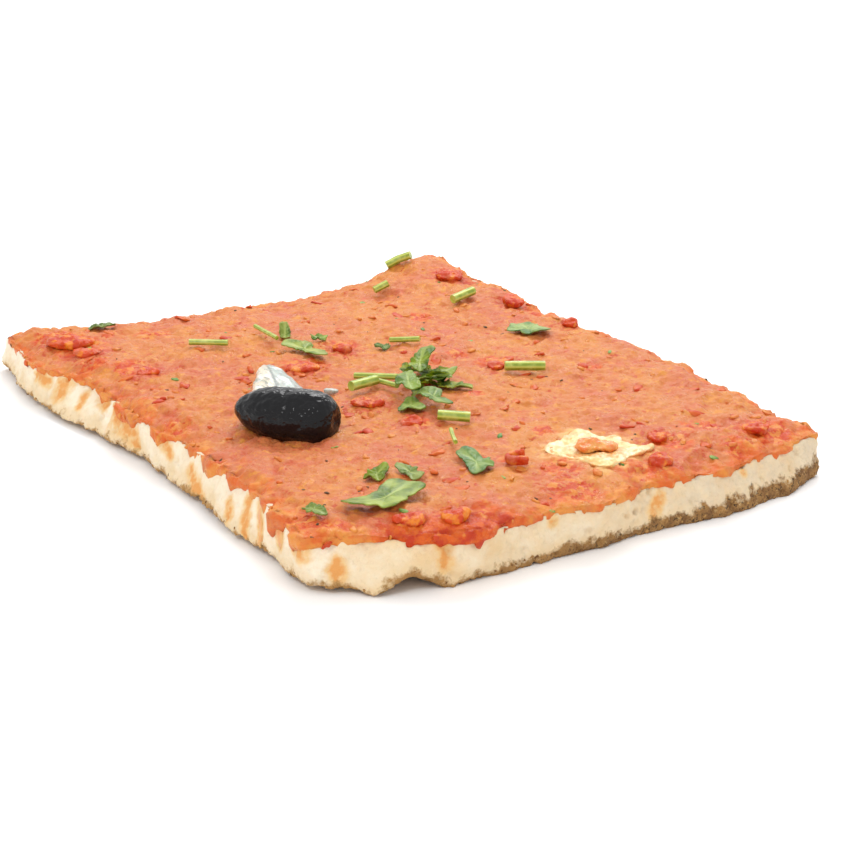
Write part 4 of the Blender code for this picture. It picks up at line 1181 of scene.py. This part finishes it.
leaflet_finish, tree, shader, where = new_finish("sprig_leaflets", 0.4)
green = tint(tree, patches(tree, where, 2.4, 0.38, 0.60, detail=2.0), LEAFLET_DARK, LEAFLET_BRIGHT)
dye(tree, shader, green)
light_in(shader, gloss=0.25)
roughen(tree, shader, where, 0.6, 3.0, 0.55, 0.15, 0.8)
bm = bmesh.new()
rows = []
for row in range(13):
    share = row / 12
    half = 0.03 + 0.20 * math.sin(math.pi * share ** 0.8) * (1.0 + 0.28 * math.sin(5.0 * math.pi * share))
    if row == 12:
        half = 0.008
    rows.append([bm.verts.new((half * side, share, 0.45 * abs(half * side) - 0.25 * share ** 2))
                 for side in (-1.0, -0.5, 0.0, 0.5, 1.0)])
for lower, higher in zip(rows, rows[1:]):
    for column in range(4):
        bm.faces.new((lower[column], lower[column + 1], higher[column + 1], higher[column]))
bmesh.ops.solidify(bm, geom=bm.faces[:], thickness=0.05)
bmesh.ops.triangulate(bm, faces=bm.faces)
bmesh.ops.recalc_face_normals(bm, faces=bm.faces)
leaflet_mesh = mesh_from("leaflet_source", bm)

leaflet_sizes = {"Leaflets": 22, "Seed": 6, "Reach across": 4.5 * MM, "Reach along": 6.0 * MM,
                 "Shortest": 3.2 * MM, "Longest": 6.4 * MM,
                 "Heart x": SPRIG_HEART.x, "Heart y": SPRIG_HEART.y,
                 "Heart z": height_at(sauce_skin, (SPRIG_HEART.x, SPRIG_HEART.y, 0.01)) + 0.8 * MM}
tree, given, made = start_tree("sprig_tip", leaflet_sizes)
strewn = place(tree, "FunctionNodeRandomValue",
               {0: (-1.0, -1.0, 0.0), 1: (1.0, 1.0, 1.0), "Seed": given["Seed"]},
               data_type="FLOAT_VECTOR").outputs[0]
reach = place(tree, "ShaderNodeCombineXYZ", {0: given["Reach across"], 1: given["Reach along"], 2: 1.5 * MM})
strewn = vectors(tree, "MULTIPLY", strewn, reach.outputs[0])
heart = place(tree, "ShaderNodeCombineXYZ", {0: given["Heart x"], 1: given["Heart y"], 2: given["Heart z"]})
strewn = vectors(tree, "ADD", strewn, heart.outputs[0])
points = place(tree, "GeometryNodePoints", {"Count": given["Leaflets"], "Position": strewn}).outputs[0]
tilt = place(tree, "FunctionNodeRandomValue", {0: (0.0, -0.4, 0.0), 1: (0.7, 0.4, 6.28), "Seed": 11},
             data_type="FLOAT_VECTOR").outputs[0]
length = place(tree, "FunctionNodeRandomValue",
               {2: given["Shortest"], 3: given["Longest"], "Seed": 3}).outputs[1]
leaflets = place(tree, "GeometryNodeInstanceOnPoints", {"Points": points, "Instance": given["Geometry"],
                                                        "Rotation": tilt, "Scale": length})
end_tree(tree, leaflets.outputs[0], leaflet_finish, made)
leaflets = make_with(tree, "sprig_small_leaflets", leaflet_mesh, leaflet_sizes)
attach(leaflets, "root")


# The parsley stalks: juicy ribbed stems cut into short lengths, round but for their grooves,
# and pale green.
STALK_GREEN = (0.42, 0.50, 0.05)
STALK_PALE = (0.64, 0.70, 0.20)
STALK_GROOVE_SHADE = (0.22, 0.33, 0.025)
STALK_BENDS = {"stalk_back_edge": 3, "stalk_front": 3}

stalk_finish, tree, shader, where = new_finish("parsley_stalk", 0.3)
# Painted shade darkens the stem's grooves and a painted highlight lightens its ridge tops.
ridge_shading = kept(tree, "ridge")
stem = tint(tree, between(tree, ridge_shading, 0.15, 0.85), STALK_GROOVE_SHADE, STALK_GREEN)
stem = tint(tree, between(tree, ridge_shading, 0.75, 1.0, 0.0, 0.7), stem, STALK_PALE)
stem = tint(tree, patches(tree, where, 2.2, 0.45, 0.65, 0.0, 0.6), stem, STALK_PALE)
dye(tree, shader, stem)
light_in(shader, depth=0.15, reach_mm=0.8)
roughen(tree, shader, where, 0.6, 3.0, 0.55, 0.12, 0.7)


def route_of(node):
    """The middle line and the radius of a CAD stalk."""
    spots = np.array([vert.co[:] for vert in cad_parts[node].data.vertices])
    spots = np.unique(np.round(spots, 7), axis=0)
    middle = spots.mean(0)
    way = np.linalg.svd(spots - middle)[2][0]
    order = np.argsort((spots - middle) @ way)
    groups = np.array_split(spots[order], STALK_BENDS.get(node, 2))
    centres = [group.mean(0) for group in groups]
    radius = float(np.mean([np.linalg.norm(group - group.mean(0), axis=1).max() for group in groups[:1]]))
    return [(Vector(centre), radius) for centre in centres]


stem_sizes = {"Step": 0.35 * MM, "Ridges": 6.0, "Ridge height": 0.05, "Bend size": 5.0 * MM,
              "Bend height": 0.5 * MM}
tree, given, made = start_tree("ribbed_stem", stem_sizes)
even = place(tree, "GeometryNodeResampleCurve", {"Curve": given["Geometry"], "Length": given["Step"]},
             mode="LENGTH").outputs[0]
ring = place(tree, "GeometryNodeCurvePrimitiveCircle", {"Resolution": 42, "Radius": 1.0}).outputs[0]
spot = here(tree)
parts = place(tree, "ShaderNodeSeparateXYZ", {0: spot})
turn = sums(tree, "ARCTAN2", parts.outputs[1], parts.outputs[0])
ridge = sums(tree, "COSINE", sums(tree, "MULTIPLY", turn, given["Ridges"]))
ridge = between(tree, ridge, -1.0, 1.0)
lift = sums(tree, "MULTIPLY", sums(tree, "SUBTRACT", ridge, 1.0), given["Ridge height"])
lift = sums(tree, "ADD", 1.0, lift)
ribbed = scaled(tree, spot, lift)
stored = place(tree, "GeometryNodeStoreNamedAttribute", {"Geometry": ring, "Name": "ridge", "Value": ridge})
ring = place(tree, "GeometryNodeSetPosition", {"Geometry": stored.outputs[0], "Position": ribbed}).outputs[0]
thickness = place(tree, "GeometryNodeInputRadius").outputs[0]
stem_body = place(tree, "GeometryNodeCurveToMesh",
                  {"Curve": even, "Profile Curve": ring, "Fill Caps": True, "Scale": thickness})
shaped = push_out(tree, stem_body.outputs[0], sums(tree, "MULTIPLY", bumps(tree, given, "Bend", 0.4), 0.3))
end_tree(tree, shaped, stalk_finish, made)
stalk_nodes = [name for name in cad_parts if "stalk" in name and not name.startswith("leaf")]
stems = make_with(tree, "parsley_stems", strands("stem_routes", [route_of(node) for node in stalk_nodes]),
                  stem_sizes)
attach(stems, "root")
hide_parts(*stalk_nodes)


# The small bits: tomato pulp in the sauce, dark specks of dried herb, green flecks of parsley,
# and toasted crumbs and flour that cling to the lower edge of the crust.
def scatter(name, carrier, where_kept, sizes, grain_finish):
    """Strew one kind of grain over the part of a piece where a stored value is high."""
    tree, given, made = start_tree(name, sizes)
    wanted = named(tree, where_kept)
    dense = sums(tree, "MULTIPLY", given["Density"], wanted)
    points = place(tree, "GeometryNodeDistributePointsOnFaces", {"Mesh": given["Geometry"], "Density": dense,
                                                                 "Seed": given["Seed"]})
    grain = place(tree, "GeometryNodeMeshIcoSphere", {"Radius": 1.0, "Subdivisions": 2}).outputs[0]
    sizes_drawn = place(tree, "FunctionNodeRandomValue", {2: given["Smallest"], 3: given["Largest"],
                                                          "Seed": given["Seed"]}).outputs[1]
    longer = sums(tree, "MULTIPLY", sizes_drawn, given["Length"])
    shape = place(tree, "ShaderNodeCombineXYZ", {0: longer, 1: sizes_drawn,
                                                 2: sums(tree, "MULTIPLY", sizes_drawn, given["Height"])})
    spun = place(tree, "FunctionNodeRotateRotation", {0: points.outputs["Rotation"], 1: place(
        tree, "FunctionNodeAxisAngleToRotation", {"Angle": place(tree, "FunctionNodeRandomValue", {
            2: 0.0, 3: 6.28, "Seed": 5}).outputs[1]}).outputs[0]}, rotation_space="LOCAL").outputs[0]
    grains = place(tree, "GeometryNodeInstanceOnPoints", {"Points": points.outputs[0], "Instance": grain,
                                                          "Rotation": spun, "Scale": shape.outputs[0]})
    depth = sums(tree, "MULTIPLY", given["Smallest"], -0.5)
    depth = place(tree, "ShaderNodeCombineXYZ", {2: depth}).outputs[0]
    sunk = place(tree, "GeometryNodeTranslateInstances",
                 {"Instances": grains.outputs[0], "Translation": depth})
    shaped = place(tree, "GeometryNodeRealizeInstances", {"Geometry": sunk.outputs[0]}).outputs[0]
    ragged = sums(tree, "MULTIPLY", given["Largest"], 1.8)
    shaped = push_out(tree, shaped, noise_height(tree, given["Largest"], ragged, 0.5))
    end_tree(tree, above_table(tree, shaped), grain_finish, made)
    piece = make_with(tree, name, carrier.data.copy(), sizes)
    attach(piece, "root")


def grain_finish(name, first, second, size_mm, roughness):
    """A finish that varies from grain to grain."""
    finish_made, tree, shader, where = new_finish(name, roughness)
    dye(tree, shader, tint(tree, patches(tree, where, size_mm, 0.4, 0.6), first, second))
    light_in(shader, gloss=0.25)
    roughen(tree, shader, where, 0.4, 3.0, 0.55, 0.1, 0.7)
    return finish_made


pulp_finish = grain_finish("tomato_pulp", (0.64, 0.16, 0.035), (0.68, 0.24, 0.040), 3.0, 0.4)
pulp_sizes = {"Density": 9000.0, "Seed": 4, "Smallest": 0.25 * MM, "Largest": 0.85 * MM, "Length": 1.5,
              "Height": 0.4}
scatter("tomato_pulp", sauce, "upper", pulp_sizes, pulp_finish)
shred_finish = grain_finish("tomato_shreds", (0.54, 0.050, 0.010), (0.66, 0.15, 0.020), 5.0, 0.4)
shred_sizes = {"Density": 5200.0, "Seed": 14, "Smallest": 0.3 * MM, "Largest": 1.25 * MM, "Length": 1.7,
               "Height": 0.35}
scatter("tomato_shreds", sauce, "upper", shred_sizes, shred_finish)
herb_finish = grain_finish("dried_herb", (0.05, 0.035, 0.015), (0.16, 0.07, 0.03), 2.0, 0.6)
herb_sizes = {"Density": 2600.0, "Seed": 9, "Smallest": 0.12 * MM, "Largest": 0.34 * MM, "Length": 1.7,
              "Height": 0.6}
scatter("herb_specks", sauce, "upper", herb_sizes, herb_finish)
fleck_finish = grain_finish("parsley_flecks", (0.07, 0.20, 0.03), (0.30, 0.42, 0.10), 4.0, 0.45)
fleck_sizes = {"Density": 1300.0, "Seed": 21, "Smallest": 0.25 * MM, "Largest": 0.6 * MM, "Length": 2.0,
               "Height": 0.3}
scatter("parsley_flecks", sauce, "upper", fleck_sizes, fleck_finish)

band_now = points_of(dough.data)
stored_up = np.empty(len(dough.data.vertices))
dough.data.attributes["above_crust"].data.foreach_get("value", stored_up)
band_top = (0.9 + 2.6 * np.clip((band_now[:, 0] + 0.06) / 0.12, 0.0, 1.0)) * MM
keep_values(dough.data, "toasted", ((stored_up < band_top) & (stored_up > 0.15 * MM)).astype(float))
toast_finish = grain_finish("toasted_crumbs", CRUST_BROWN, CRUST_GOLD, 1.8, 0.8)
toast_sizes = {"Density": 350000.0, "Seed": 3, "Smallest": 0.10 * MM, "Largest": 0.30 * MM, "Length": 1.5,
               "Height": 0.6}
scatter("toasted_crumbs", dough, "toasted", toast_sizes, toast_finish)
